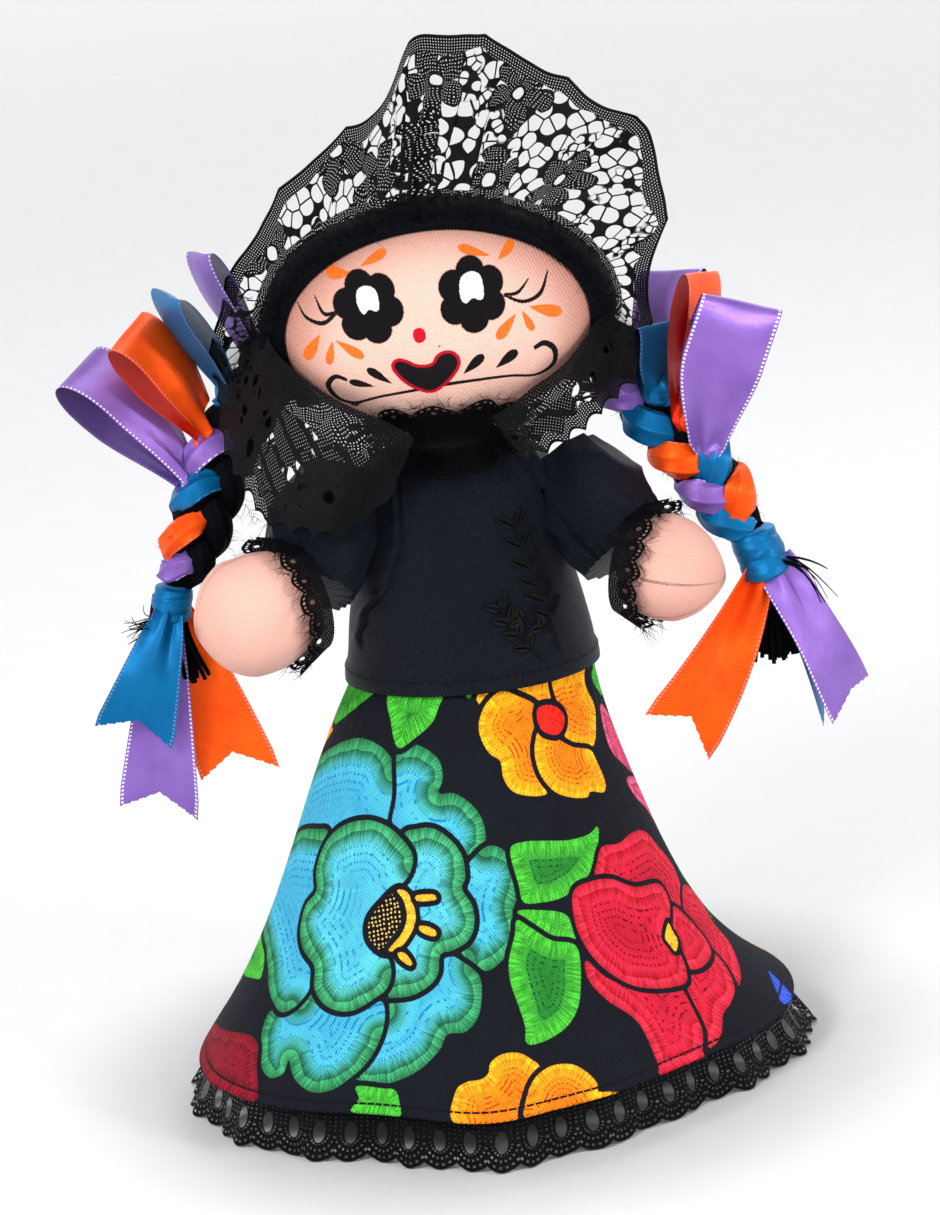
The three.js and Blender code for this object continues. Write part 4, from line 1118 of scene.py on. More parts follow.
# %% Sleeves and hands
ARMS = {
    "right": {
        "sleeve": [(-31, 2, 187), (-37, -8, 175), (-44, -20, 160)], "sleeve_radii": [13, 16.5, 18, 17.5, 16.5],
        "hand": [(-46, -22.5, 158.5), (-61, -30, 156), (-77, -36, 154)],
        "hand_radii": [14.5, 17, 18.5, 18, 14.5, 8]},
    "left": {
        "sleeve": [(35, 2, 187), (43, -6, 174), (51, -15, 160)], "sleeve_radii": [13, 16, 17.5, 16.5, 15.5],
        "hand": [(53, -17, 158), (64, -22, 155.5), (79, -27, 152)],
        "hand_radii": [13.5, 15.5, 16.5, 15.5, 12, 6.5]},
}


def plain_jersey():
    """Flesh-coloured knit, with a stitched seam where the two halves meet."""
    material, surface, here = new_material("plain_jersey")
    x, y = stored(here, "cloth", 0), stored(here, "cloth", 1)
    tint, knit = jersey_finish(here, y, x, 0.93, "CA9586", "DAAB9E")
    seam = 1 - abs(stored(here, "cloth", 2)).smooth(0.25, 0.9)
    stitch = x.beyond(2.0).smooth(0.35, 0.5)
    tint = tinted(tint, 1.0, 0.72, seam * (stitch * 0.5 + 0.4))
    connect(surface, Base_Color=tint, Roughness=knit * 0.1 + 0.85, Subsurface_Weight=0.06, Subsurface_Scale=0.002, Specular_IOR_Level=0.1,
            Normal=bumped(knit * 0.5 + noise(joined(x, y), 0.4) * 0.4 - seam * 0.9, 0.18))
    return material


knit_hand = plain_jersey()
for number, (side, arm) in enumerate(ARMS.items()):
    share = np.linspace(0, 1, 70)
    path = catmull_rom(arm["sleeve"], share)
    radius = smooth_curve(arm["sleeve_radii"], share)[:, None]
    angle = np.linspace(0, 2 * np.pi, 145)[:-1][None, :]
    folds = 1.2 * wavy(angle * 3.2, share[:, None] * 2.2, 41 + number)
    sharp = (1 - np.abs(wavy(angle * 3 + share[:, None] * 2.5, share[:, None] * 3.2, 45 + number, 2))) ** 4
    folds = folds + 1.7 * sharp - 0.7
    pull = -1.1 * np.abs(np.sin(4.5 * angle + 1.3 * number)) * (1 - smoothstep(share, 0.0, 0.35))[:, None]
    cuff = -1.6 * smoothstep(share, 0.82, 1.0)[:, None]
    cuff = cuff + 0.6 * np.sin(19 * angle + 2 * np.sin(3 * angle)) * smoothstep(share, 0.7, 0.95)[:, None]
    grid, turns = tube(path, radius + folds + pull + cuff - 0.8, 144)
    cloth = np.stack([turns * 16, np.broadcast_to(share[:, None] * 40, turns.shape), 0 * turns], -1)
    sleeve = closed_tube(f"puffed_sleeve_{side}", grid, {"cloth": cloth})
    dress(sleeve, black_twill, f"sleeve_{side}")

    share = np.concatenate([np.linspace(0, 0.85, 52), 1 - 0.15 * (1 - np.linspace(0.04, 1, 30)) ** 1.8])
    path = catmull_rom(arm["hand"], share)
    radius = smooth_curve(arm["hand_radii"], share)
    radius = radius * np.sqrt(np.clip(1 - ((share - 0.62) / 0.381) ** 4, 0.0, 1)) ** (share > 0.62)
    seam_at = np.radians(100 if side == "right" else 60)
    turns = np.linspace(0, 2 * np.pi, 97)[:-1][None, :]
    apart = (turns - seam_at + np.pi) % (2 * np.pi) - np.pi
    apart = np.where(np.abs(apart) > np.pi / 2, np.pi - np.abs(apart), apart)
    pinch = -0.7 * np.exp(-(apart * 16 / 1.6) ** 2)
    lumps = 0.7 * wavy(turns * 1.4, share[:, None] * 3.0, 51 + number)
    creased = (1 - np.abs(wavy(turns * 1.6, share[:, None] * 4.0, 57 + number, 2))) ** 6
    lumps = lumps - 0.8 * creased * (1 - smoothstep(share, 0.35, 0.7))[:, None]
    grid, turns = tube(path, np.maximum(radius[:, None] + pinch + lumps * smoothstep(radius, 3, 9)[:, None] - 0.4, 0.2), 96)
    cloth = np.stack([np.broadcast_to(share[:, None] * 36, turns.shape), turns * 15,
                      np.broadcast_to(apart * 15, turns.shape)], -1)
    hand = closed_tube(f"jersey_hand_{side}", grid, {"cloth": cloth})
    dress(hand, knit_hand, f"hand_{side}")

# %% [markdown]
# ## Hair
# The hair is a cap of black fibre, glued and stitched over the back of the head. It is combed away
# from the face in soft locks, and its edge round the face is fuzzy: a few hundred short loose
# fibres stand out of it.

# %% The hair
HAIR_THICK = 5.5
HAIRLINE, NAPE = 107.5, 52                    # degrees of tilt, at the face and at the nape
HAIR_LOCKS, LOCK_DEPTH = 6, 0.5


def hair_surface(angle, share, lift=None):
    """A point of the cap: share goes from the crown behind at 0 to the hairline at 1, whose tilt is
    smaller at the nape. The cap's edge is rounded down to the head."""
    low = smoothstep(-np.sin(angle), 0.5, 0.85)
    tilt = share * np.radians(HAIRLINE + (NAPE - HAIRLINE) * low)
    lock = LOCK_DEPTH * np.cos(HAIR_LOCKS * angle + 3 * tilt)
    strands = 0.35 * np.sin(70 * angle + 4 * np.sin(9 * angle) + 7 * share) + 0.4 * wavy(angle * 22, tilt * 5, 61)
    strands = strands * smoothstep(share, 0.08, 0.5)
    round_off = np.sqrt(np.clip(1 - np.clip((share - 0.93) / 0.10, 0, 1) ** 2, 0, 1))
    out = (HAIR_THICK - 0.7 + lock + strands) * round_off + 0.3
    return head_surface(angle, tilt, out if lift is None else lift), tilt


def fibre_hair():
    """Matt black fibre with fine combed streaks, lighter and darker by turns, and a relief of clumped locks."""
    material, surface, here = new_material("black_fibre")
    x, y = stored(here, "comb", 0), stored(here, "comb", 1)
    streaks = noise(joined(x * 2.6, y * 0.16), 1.0, 4.0)
    clumps = noise(joined(x * 0.35, y * 0.1), 1.0, 2.0)
    tint = blend(streaks, "010102", "08080B")
    connect(surface, Base_Color=tint, Roughness=streaks * 0.3 + 0.5, Specular_IOR_Level=0.06,
            Specular_Tint=(0.7, 0.8, 1.0, 1.0),
            Normal=bumped(streaks * 0.7 + clumps * 0.5, 0.6))
    return material


shares = np.concatenate([np.linspace(0.04, 0.9, 90), np.linspace(0.91, 1.03, 24)])
angle, share = np.meshgrid(np.linspace(0, 2 * np.pi, 721)[:-1], shares)
hair_points, tilt = hair_surface(angle, share)
comb = np.stack([angle * 48, share * 70, 0 * share], -1)
fibre = fibre_hair()
hair = make_piece("fibre_hair", hair_points.reshape(-1, 3), grid_faces(*share.shape, around=True, turned=True),
                  {"comb": comb.reshape(-1, 3)})
dress(hair, fibre, "hair")


def loose_fibres(name, roots, headings, lengths, width, seed, droop=0.0, steps=5):
    """Thin tapering fibres, three-sided, that leave their roots along the headings and bend at random:
    each heading turns a little from step to step, and droop pulls it down."""
    random = np.random.default_rng(seed)
    count = len(roots)
    bend = random.normal(0, 0.35, (count, 3))
    middle, heading = [roots], headings
    for step in range(steps):
        heading = unit(heading + bend * (step + 1) / steps + [0, 0, -droop])
        middle.append(middle[-1] + heading * (lengths / steps)[:, None])
    middle = np.stack(middle, 1)
    side = unit(np.cross(headings, random.normal(size=(count, 3))))[:, None]
    lift = np.cross(unit(np.gradient(middle, axis=1)), side)
    turn = np.arange(3) * 2 * np.pi / 3
    taper = width / 2 * np.linspace(1, 0.35, steps + 1)[None, :, None, None]
    ring = (middle[:, :, None] + taper * (np.cos(turn)[:, None] * side[:, :, None]
                                         + np.sin(turn)[:, None] * lift[:, :, None]))
    one = grid_faces(steps + 1, 3, around=True)
    faces = (one[None] + (np.arange(count) * 3 * (steps + 1))[:, None, None]).reshape(-1, 4)
    points = ring.reshape(-1, 3)
    along = np.tile(np.repeat(np.linspace(0, 20, steps + 1), 3), count)
    values = {"comb": np.column_stack([points[:, 0] * 3, along, 0 * along])}
    return make_piece(name, points, faces, values)


random = np.random.default_rng(7)
fuzz_angle = np.concatenate([random.uniform(-0.5, np.pi + 0.5, 3600), random.uniform(0, 2 * np.pi, 700)])
fuzz_share = np.concatenate([random.uniform(0.84, 1.02, 3600), random.uniform(0.3, 0.95, 700)])
roots, _ = hair_surface(fuzz_angle, fuzz_share, 3.2)
outward = unit((roots - HEAD) * [1, 0.3, 1])
count = len(fuzz_angle)
headings = unit(outward * random.uniform(-0.6, 0.8, (count, 1)) + random.normal(0, 0.6, (count, 3)) + [0, -0.3, 0])
fuzz = loose_fibres("hair_fuzz", roots, headings, random.uniform(2, 6.5, count), 0.2, 71)
dress(fuzz, fibre, "hair")

# %% [markdown]
# ## Mantilla
# The mantilla is one long strip of floral net lace. It is gathered and sewn along the hair from one
# temple over the top to the other, so that its free edge stands up as a fan, and its two ends fall
# on the shoulders. Its ground is an open net of rounded holes. Flowers of close net lie on it, each
# petal edged by a cord, and a close ladder runs along the free edge, which curves in between points.

# %% The mantilla's stations
SEAM_LIFT = HAIR_THICK + 1.2
SEAM_TILT = math.acos((4 - HEAD[1]) / (HEAD_HALF[1] + SEAM_LIFT))


def on_hair(degrees):
    """A place of the seam on the top of the hair, at an angle from the doll's left."""
    return tuple(head_surface(np.radians(degrees), SEAM_TILT, SEAM_LIFT))


# Each station: the edge sewn on, and the free edge
MANTILLA = [
    ((-12, -33, 196), (-19, -29, 180)), ((-27, -30, 204), (-36, -32.5, 177)),
    ((-42, -21, 213), (-52, -25, 178)), ((-52, -8, 224), (-64, -7, 196)),
    (on_hair(174), (-66.5, 8, 232)), (on_hair(150), (-54, 11, 257)), (on_hair(128), (-36, 12, 279)),
    (on_hair(108), (-9, 14, 296.5)), (on_hair(94), (5, 14, 315.5)), (on_hair(81), (27, 11, 313)),
    (on_hair(67), (46, 11, 299.5)), (on_hair(51), (70, 11, 281)), (on_hair(30), (74, 10, 262)),
    (on_hair(7), (67, 7, 232)), ((53, -10, 226), (62, -5, 212)), ((41, -21, 215), (47, -18, 200)),
    ((29, -28, 208), (36, -26, 196)), ((18, -33, 203), (24, -32, 191))]
PLEATS, PLEAT_DEPTH = 11, 2.4
FINE_PLEAT = 0.034                          # of the strip's length, where it is gathered tight
TUCKED = 11, 7, 3                           # mm beyond the seam: at the right end, the left one, on the hair


def draped_lace(along, across):
    """The strip's surface: along runs from 0 at the right shoulder to 1 at the left one, across from
    below 0, where it is tucked in, by 0 at the seam, to 1 at the free edge. A pleat is a sine to
    the front, with a sine of twice the rate along the strip, so that deep pleats double over."""
    sewn = catmull_rom([s for s, _ in MANTILLA], along[0])[None]
    free = catmull_rom([f for _, f in MANTILLA], along[0])[None]
    gathered = np.exp(-((along - 0.5) / 0.22) ** 2)
    crown = np.exp(-((along - 0.475) / 0.065) ** 2) * (1 - smoothstep(across, 0.3, 0.85))
    puff = 4 * across * (1 - across)
    deep = 0.6 + 1.0 * (1 - gathered) + PLEAT_DEPTH * gathered * np.sin(np.pi * np.clip(0.15 + 0.6 * across, 0, 1))
    wide_fold = 2 * np.pi * PLEATS * (along + 0.006 * np.sin(5 * across + 9 * along))
    fine_fold = 2 * np.pi * along / FINE_PLEAT + 0.8 * np.sin(4 * across + 30 * along)
    pleat = deep * np.sin(wide_fold) + 1.8 * crown * np.sin(fine_fold)
    pleat = pleat + 0.6 * np.sin(2.6 * wide_fold + 3 * across) * (1 - across) * gathered
    pleat = pleat + 0.7 * wavy(along * 60, across * 3, 81)
    slide = -1.6 * crown * np.sin(2 * fine_fold) - 1.2 * gathered * (1 - across) * np.sin(2 * wide_fold)
    middle = sewn * (1 - across[..., None]) + free * across[..., None]
    heading = unit(np.gradient(middle, axis=1))
    return middle + slide[..., None] * heading + np.stack([0 * along, pleat + 1.2 * puff * gathered, 0 * along], -1)


def square_net(x, y, pitch, open_share):
    """1 in the holes of a square net, whose holes take a share of each pitch, and 0 on its threads."""
    low, high = open_share / 2 - 0.04, open_share / 2 + 0.04
    return (1 - abs(x.beyond(pitch) - 0.5).smooth(low, high)) * (1 - abs(y.beyond(pitch) - 0.5).smooth(low, high))


def net_lace(name, length):
    """Floral net lace. Flowers of five petals sit in large random cells: a petal's rim swells with the
    angle, and it holds a close square net turned its own way. The ground's holes are rounded
    random cells, small ones in patches. Along the free edge, whose distance is stored and which is
    cut in arcs, runs a strip of close net of uneven width. Where the lace falls on the shoulders it
    is denser, and the corners of both its ends, length mm apart, are round."""
    material, surface, here = new_material(name)
    x, y, from_edge = (stored(here, "lace", part) for part in range(3))
    tight = stored(here, "tight")
    flat = joined(x, y)
    bent = joined(x + (noise(flat, 0.10) - 0.5) * 7, y + (noise(joined(x + 50, y), 0.10) - 0.5) * 7)

    def cells(vector, size, feature, output, random):
        return vector.new("ShaderNodeTexVoronoi", {"voronoi_dimensions": "2D", "feature": feature},
                          {"Vector": vector, "Scale": 1 / size, "Randomness": random}, output)

    centre, pick = cells(bent, 31.0, "F1", 2, 0.8), split(cells(bent, 31.0, "F1", 1, 0.8), 0)
    dx, dy = split(bent, 0) - split(centre, 0), split(bent, 1) - split(centre, 1)
    reach = (dx * dx + dy * dy) ** 0.5
    lobe = abs(dx.math("COSINE", (dx.math("ARCTAN2", dy, dx) + pick * 6.3) * 2.5))
    rim = (lobe ** 0.6) * 7.0 + 4.0 + pick * 2.0
    petal = (reach < rim) * (reach > 2.6)
    cord = (1 - abs(reach - rim).smooth(0.35, 0.5)).most((1 - lobe.smooth(0.10, 0.16)) * petal)
    cord = cord.most(1 - abs(reach - 2.3).smooth(0.35, 0.5))
    cos, sin = pick.math("COSINE", pick * 6.3), pick.math("SINE", pick * 6.3)
    close = square_net(dx * cos + dy * sin, dy * cos - dx * sin, 0.9, 0.3)

    def rounded(vector, size, most, thread):
        edge = cells(vector, size, "DISTANCE_TO_EDGE", 0, 0.9) * size
        middle = cells(vector, size, "F1", 0, 0.9) * size
        return edge.smooth(thread - 0.05, thread + 0.06) * (1 - middle.smooth(most, most + 0.15))

    small = noise(joined(x + 90, y), 0.06).smooth(0.55, 0.58)
    ground = rounded(flat, 5.3, 2.65, 0.27) * (1 - small) + rounded(flat, 3.1, 1.4, 0.26) * small
    patches = noise(joined(x + 20, y + 30), 0.07)
    drape = square_net(x + y, y - x, 1.3, 0.2) * ((x * 0.7 + y).sine(9.0) + 0.7).smooth(0.0, 0.2)
    drape = drape.most(rounded(flat, 5.0, 2.0, 0.75) * patches.smooth(0.56, 0.58))
    ground = ground * (1 - tight) + drape * tight
    petal = petal * (1 - tight)
    seam = 1 - y.smooth(0.6, 1.0)
    net = petal.most(seam)
    hole = ground * (1 - net) + close * net
    hole = hole.most((1 - reach.smooth(1.8, 1.95)) * (1 - seam)) * (1 - cord * (1 - seam))
    edge = from_edge - abs((x + noise(joined(x, 0.0), 0.03) * 30).sine(56.0)) * 2.6 - abs(x.sine(15.0)) * tight * 2.4
    border_width = noise(joined(x * 0.06, 0.0), 1.0, 1.0) * 11 - 0.8
    border = 1 - (edge - border_width).smooth(-0.05, 0.05)
    rungs = square_net(x + y * 0.15, edge, 0.85, 0.33)
    cords = 1 - edge.smooth(0.6, 0.8)
    hole = (hole * (1 - border) + rungs * border) * (1 - cords)
    from_end = x.least(length - x) + (noise(joined(y, 0.0), 0.12) - 0.5) * 7
    corner = ((9 - from_end).most(0.0) ** 2 + (9 - edge).most(0.0) ** 2) ** 0.5
    hole = hole.most(corner.smooth(8.95, 9.05))
    relief = (1 - hole) * 0.4 + cord * 0.4 + cords * 0.4 + (x + y).sine(0.5) * 0.08
    connect(surface, Base_Color=lace_thread(here), Roughness=0.55, Specular_IOR_Level=0.1,
            Alpha=1 - hole, Normal=bumped(relief, 0.6))
    return material


share_along = np.linspace(0, 1, 1001)
sewn, free = (catmull_rom([station[k] for station in MANTILLA], share_along) for k in (0, 1))
width = np.linalg.norm(free - sewn, axis=1)
shoulder = smoothstep(np.abs(share_along - 0.51), 0.26, 0.33)
tucked = -np.maximum(shoulder * np.where(share_along < 0.5, *TUCKED[:2]), TUCKED[2]) / width
share_across = np.linspace(0, 1, 72)[:, None]
across = tucked + (1 - tucked) * share_across
along = np.broadcast_to(share_along, across.shape)
lace_points = draped_lace(along, across)
step = np.linalg.norm(np.diff(free, axis=0), axis=-1)
run = np.concatenate([[0], np.cumsum(np.maximum(step, 0.25))])
cloth = np.stack([np.broadcast_to(run, along.shape), across * width, (1 - across) * width], -1)
mantilla = make_piece("net_lace_mantilla", lace_points.reshape(-1, 3), grid_faces(*along.shape),
                      {"lace": cloth.reshape(-1, 3), "tight": np.broadcast_to(shoulder, along.shape).ravel()})
dress(mantilla, net_lace("floral_net_lace", float(run[-1])), "lace_mantilla")

# %% [markdown]
# ## Neck ruffle and cuffs
# A strip of narrow beaded lace is folded and gathered round the neck: one half stands up in
# scallops against the chin, and the other lies on the blouse. The same lace edges the sleeves. Its
# cut ends and edges are frayed, so loose threads stick out of both.

# %% The neck ruffle
RUFFLE_AROUND = 20
RUFFLE = np.array([                         # height, half width, half depth, front over back, sides over middle
    [203, 29, 29.5, 10, 0], [198.5, 20, 17, 0, 0], [190.5, 27, 29, 0, 7.5]])


def edging_lace(name, repeat, deep):
    """Narrow beaded lace: each scallop has a row of eyelets round its edge, a small hole in its middle,
    and close net between. The edge and the rings are corded with bead-like knots."""
    material, surface, here = new_material(name)
    x, y, to_edge = (stored(here, "lace", part) for part in range(3))
    across = (x.beyond(repeat) - 0.5) * repeat
    edge = to_edge - (across * across) * (deep / (repeat / 2) ** 2)
    eyelets = (1 - abs(edge - 1.5).smooth(0.35, 0.5)) * (1 - abs(x.beyond(repeat / 6) - 0.5).smooth(0.2, 0.27))
    middle = 1 - (((across / 0.8) ** 2 + ((edge - 4.6) / 0.9) ** 2) ** 0.5).smooth(0.9, 1.05)
    mesh = square_net(x, edge, 0.95, 0.15) * edge.smooth(2.5, 2.6)
    hole = eyelets.most(mesh).most(middle).most(1 - edge.smooth(-0.05, 0.05))
    bead = (1 - abs(edge - 0.45).smooth(0.2, 0.6)).most(1 - abs(edge - 2.4).smooth(0.1, 0.4))
    bead = bead * (x.sine(0.9) * 0.4 + 0.6)
    connect(surface, Base_Color=lace_thread(here), Roughness=0.6, Specular_IOR_Level=0.06,
            Alpha=1 - hole, Normal=bumped(bead + (1 - mesh) * 0.3, 0.6))
    return material


def lace_frill(name, grid, repeat, folded=False):
    """A gathered frill from a grid of points that goes around. It stores the run round it, the width
    across, and the distance to the nearer free edge: both long edges are free if it is folded."""
    run = np.concatenate([[0], np.cumsum(np.linalg.norm(np.diff(grid[-1], axis=0), axis=-1))])
    run = run * (max(1, round(run[-1] / repeat)) * repeat / run[-1])
    steps = np.linalg.norm(np.diff(grid, axis=0), axis=-1)
    cross = np.concatenate([np.zeros((1, grid.shape[1])), np.cumsum(steps, 0)])
    to_edge = np.minimum(cross[-1:] - cross, cross) if folded else cross[-1:] - cross
    cloth = np.stack([np.broadcast_to(run, cross.shape), cross, to_edge], -1)
    piece = make_piece(name, grid.reshape(-1, 3), grid_faces(*cross.shape), {"lace": cloth.reshape(-1, 3)})
    print(f"{name}: a strip {round(run[-1])} by {round(float(cross[-1].mean()))} mm")
    return piece, run[-1] / 1000, float(cross[-1].mean()) / 1000


turn = np.linspace(0, 2 * np.pi, 601)
steps = np.linspace(0, 1, 41)
sections = catmull_rom(RUFFLE[:, :3], steps)
front_lift, side_lift = (np.interp(steps, [0, 0.5, 1], RUFFLE[:, k])[:, None] for k in (3, 4))
loose = np.abs(2 * steps - 1)[:, None]
wave = 0.7 * loose * (np.sin(RUFFLE_AROUND / 2 * turn) + 0.5 * np.sin(26 * turn + 2 * np.sin(3 * turn)))
front = smoothstep(-np.sin(turn), 0.3, 0.9)
ruffle_grid = np.stack([HEAD[0] + (sections[:, 1:2] + wave) * np.cos(turn),
                        (sections[:, 2:3] + wave) * np.sin(turn),
                        sections[:, :1] + front_lift * front + side_lift * np.cos(turn) ** 2 + 0.5 * wave], -1)
ruffle, length, wide = lace_frill("beaded_neck_ruffle", ruffle_grid, 14.0, folded=True)
dress(ruffle, edging_lace("beaded_ruffle_lace", 14.0, 4.6), "neck_ruffle")

# %% The cuffs
CUFF_REACH = 7.5
cuff_lace = edging_lace("beaded_cuff_lace", 8.0, 2.4)
cuff_edges = {}
for side, arm in ARMS.items():
    hand = np.array(arm["hand"], float)
    outward = unit(hand[1] - hand[0])
    path = hand[0] + outward * np.linspace(-1.5, CUFF_REACH + 1.5, 25)[:, None]
    share = np.linspace(0, 1, 25)[:, None]
    turns = np.linspace(0, 2 * np.pi, 241)[:-1][None, :]
    flare = arm["sleeve_radii"][-1] + 0.9 + 3.4 * share
    ripple = (0.9 * np.sin(11 * turns) + 0.5 * np.sin(23 * turns + 1)) * share
    grid, _ = tube(path, flare + ripple, 240)
    grid = np.concatenate([grid, grid[:, :1]], 1)
    cuff_edges[side] = grid[-3], np.broadcast_to(outward, grid[-3].shape)
    cuff, length, wide = lace_frill(f"beaded_cuff_{side}", grid, 8.0)
    dress(cuff, cuff_lace, f"cuff_lace_{side}")

# %% [markdown]
# ## Plaits
# Each plait has three strands of black yarn, and a satin ribbon is plaited in with each strand. A
# strand swings from side to side and passes over and under its neighbours: a sine to the side, and
# one of twice the rate to the front and back. The yarn's threads lie along the strand as grooves.

# %% The plaits' paths
STRAND, SWING, DIP = 5, 5.4, 2.4
PLAITS = {
    "right": {
        "path": [(-47, 18, 221), (-58, 15, 207), (-67, 9, 194), (-71.5, 4, 182), (-77, 3, 170), (-83, 3, 159)],
        "knot": [(-84.5, 3, 156.5), (-86.5, 3, 148.5)], "ends": (-84.5, 3, 130),
        "swings": 4, "phase": 0.103, "forward": -1,
        "bands": [("purple", 2, 0.45), ("blue", 1, 0.62), ("orange", 0, 0.79), ("purple", 2, 0.93)]},
    "left": {
        "path": [(48, 18, 221), (56, 13, 208), (65, 5, 196), (73, -1, 185.5), (80.5, -5, 173.5), (88, -8, 161)],
        "knot": [(89.5, -8, 158.5), (93, -8, 147)], "ends": (93.5, -8, 123),
        "swings": 3.95, "phase": 1.301, "forward": 1,
        "bands": [("purple", 2, 0.283), ("blue", 1, 0.451), ("orange", 0, 0.62), ("blue", 1, 0.704),
                  ("purple", 2, 0.789), ("orange", 0, 0.873), ("blue", 1, 0.935)]},
}


def even_curve(stations, share):
    """A smooth curve read at shares of its length, and its heading there."""
    fine = catmull_rom(stations, np.linspace(0, 1, 400))
    length = np.concatenate([[0], np.cumsum(np.linalg.norm(np.diff(fine, axis=0), axis=1))])
    place = np.interp(share, length / length[-1], np.linspace(0, 1, 400))
    heading = unit(np.gradient(fine, axis=0))
    heading = np.stack([np.interp(place, np.linspace(0, 1, 400), heading[:, k]) for k in range(3)], -1)
    return catmull_rom(stations, place), unit(heading)


def strand_at(plait, strand, share):
    """The middle of a strand at shares of the way down, the sideways direction, the backward one, and
    the swing's angle. The plait closes up towards the knot."""
    swing = np.pi * (plait["swings"] * share + plait["phase"] + strand * 2 / 3)
    middle, heading = even_curve(plait["path"], share)
    wide = unit(np.cross(heading, [0, 1.0, 0]))
    deep = unit(np.cross(wide, heading))
    close = 1 - 0.66 * smoothstep(share, 0.84, 1)
    middle = middle + (close * SWING * np.sin(swing))[:, None] * wide
    middle = middle + (close * plait["forward"] * DIP * np.sin(2 * swing))[:, None] * deep
    return middle, wide, deep, swing


def yarn_grid(path, radius, sides, plies, seed, twist=0.0):
    """A bundle of yarn round a path: as many ridges as plies, and finer ones on them."""
    share = np.linspace(0, 1, len(path))[:, None]
    turn = np.linspace(0, 2 * np.pi, sides + 1)[:-1][None, :]
    slant = turn + twist * share + 0.15 * wavy(turn, share * 6, seed)
    ridges = 0.45 * np.abs(np.sin(plies * slant / 2)) + 0.16 * np.abs(np.sin(plies * 1.5 * slant + 1))
    grid, turns = tube(path, np.asarray(radius).reshape(-1, 1) - 0.5 + ridges, sides)
    length = np.concatenate([[0], np.cumsum(np.linalg.norm(np.diff(path, axis=0), axis=1))])[:, None]
    comb = np.stack([turns * 5, np.broadcast_to(length, turns.shape), 0 * turns], -1)
    return grid, comb


def join_grids(name, parts):
    """One mesh from closed tubes: each part is a grid of points and a grid of stored values."""
    points, faces, values, start = [], [], [], 0
    for grid, comb in parts:
        rows, columns = grid.shape[:2]
        points += [grid.reshape(-1, 3), grid[:1].mean(1), grid[-1:].mean(1)]
        values += [comb.reshape(-1, 3), comb[:1].mean(1), comb[-1:].mean(1)]
        faces.append(closed_faces(rows, columns) + start)
        start += rows * columns + 2
    return make_piece(name, np.concatenate(points), np.concatenate(faces), {"comb": np.concatenate(values)})


for number, (side, plait) in enumerate(PLAITS.items()):
    parts = []
    for strand in range(3):
        share = np.linspace(0.02, 1, 130)
        middle = strand_at(plait, strand, share)[0]
        radius = STRAND * np.interp(share, [0, 0.5, 0.88, 1], [1, 1, 0.86, 0.62])
        parts.append(yarn_grid(middle, radius, 48, 11, 90 + strand))
    random = np.random.default_rng(30 + number)
    start, end = np.array(plait["knot"][0], float), np.array(plait["ends"], float)
    low = np.array(plait["knot"][1], float)
    for _ in range(84):                     # the loose ends of the yarn below the knot
        spread = random.normal(0, 1, 2) * 2.2
        shift = np.array([spread[0], spread[1] * 0.8, 0])
        fan = 1 + 0.35 * random.random()
        stop = end + shift * [1.25 * fan, 1.2, 1] + [0, 0, random.uniform(-3, 4)]
        path = catmull_rom([start + shift * 0.75, low + shift * 0.75, (low + stop) / 2 + shift * 0.2, stop],
                           np.linspace(0, 1, 12))
        parts.append(yarn_grid(path, np.linspace(0.85, 0.62, 12), 5, 3, 5))
    yarn = join_grids(f"yarn_plait_{side}", parts)
    dress(yarn, fibre, f"plait_{side}")

# %% [markdown]
# ## Satin ribbons
# One inch satin ribbon, woven so that the warp floats on its face: the sheen runs along the weft and
# the edges have a fine row of picots, white on the purple ribbon. Each ribbon shows as a bow loop, as
# bands between the strands, and as a tail with a notch cut in its end.

# %% The satin
RIBBON_WIDTH = 24


def satin(name, deep, bright, inner, picots):
    """Satin in one colour. It is part metal, so that its gloss has its own colour; tiny ribs and creases
    catch the light. Near each edge runs a woven border with a row of dots. Its back face, which looks
    into the loops and folds, is painted in the darker inner colour as painted shade."""
    material, surface, here = new_material(name)
    x, y = stored(here, "ribbon", 0), stored(here, "ribbon", 1)
    flat = joined(x, y)
    slub = noise(joined(x * 0.25, y * 3.0), 1.0, 3.0)
    tone = noise(flat, 0.06)
    tint = blend(tone, deep, bright)
    tint = tinted(tint, 0.92, 1.06, slub)
    edge = RIBBON_WIDTH / 2 - abs(y)
    dot_row = 1 - abs(edge - 0.7).smooth(0.3, 0.45)
    dots = dot_row * (1 - abs(x.beyond(1.3) - 0.5).smooth(0.2, 0.3))
    tint = blend(dots * picots, tint, "F2ECF8")
    selvedge = 1 - edge.smooth(0.9, 1.1)
    # painted shade: the ribbon's back face, inside its loops and folds, takes the darker inner colour
    facing = here.new("ShaderNodeNewGeometry", {}, {}, 6)
    tint = blend(facing * 0.8, tint, inner)
    rough = slub * 0.10 + 0.27 + selvedge * 0.15
    ribs = y.sine(0.32) * 0.5 + 0.5
    connect(surface, Base_Color=tint, Metallic=0.5, Roughness=rough, Anisotropic=0.5, Specular_IOR_Level=0.2,
            Normal=bumped(ribs * 0.2 + noise(flat, 0.16) * 1.2 + dots * 0.4 - selvedge * 0.15, 0.2))
    return material


# each satin: its deep and bright colours, the darker inner colour that is painted shade on its back face, and how
# strong its picots are
SATINS = {
    "purple": satin("purple_satin_ribbon", "6B4699", "9672C4", "452678", 0.9),
    "orange": satin("orange_satin_ribbon", "EE3C04", "FC620A", "CC0C02", 0.2),
    "blue": satin("blue_satin_ribbon", "005488", "0072AA", "003C64", 0.15),
}


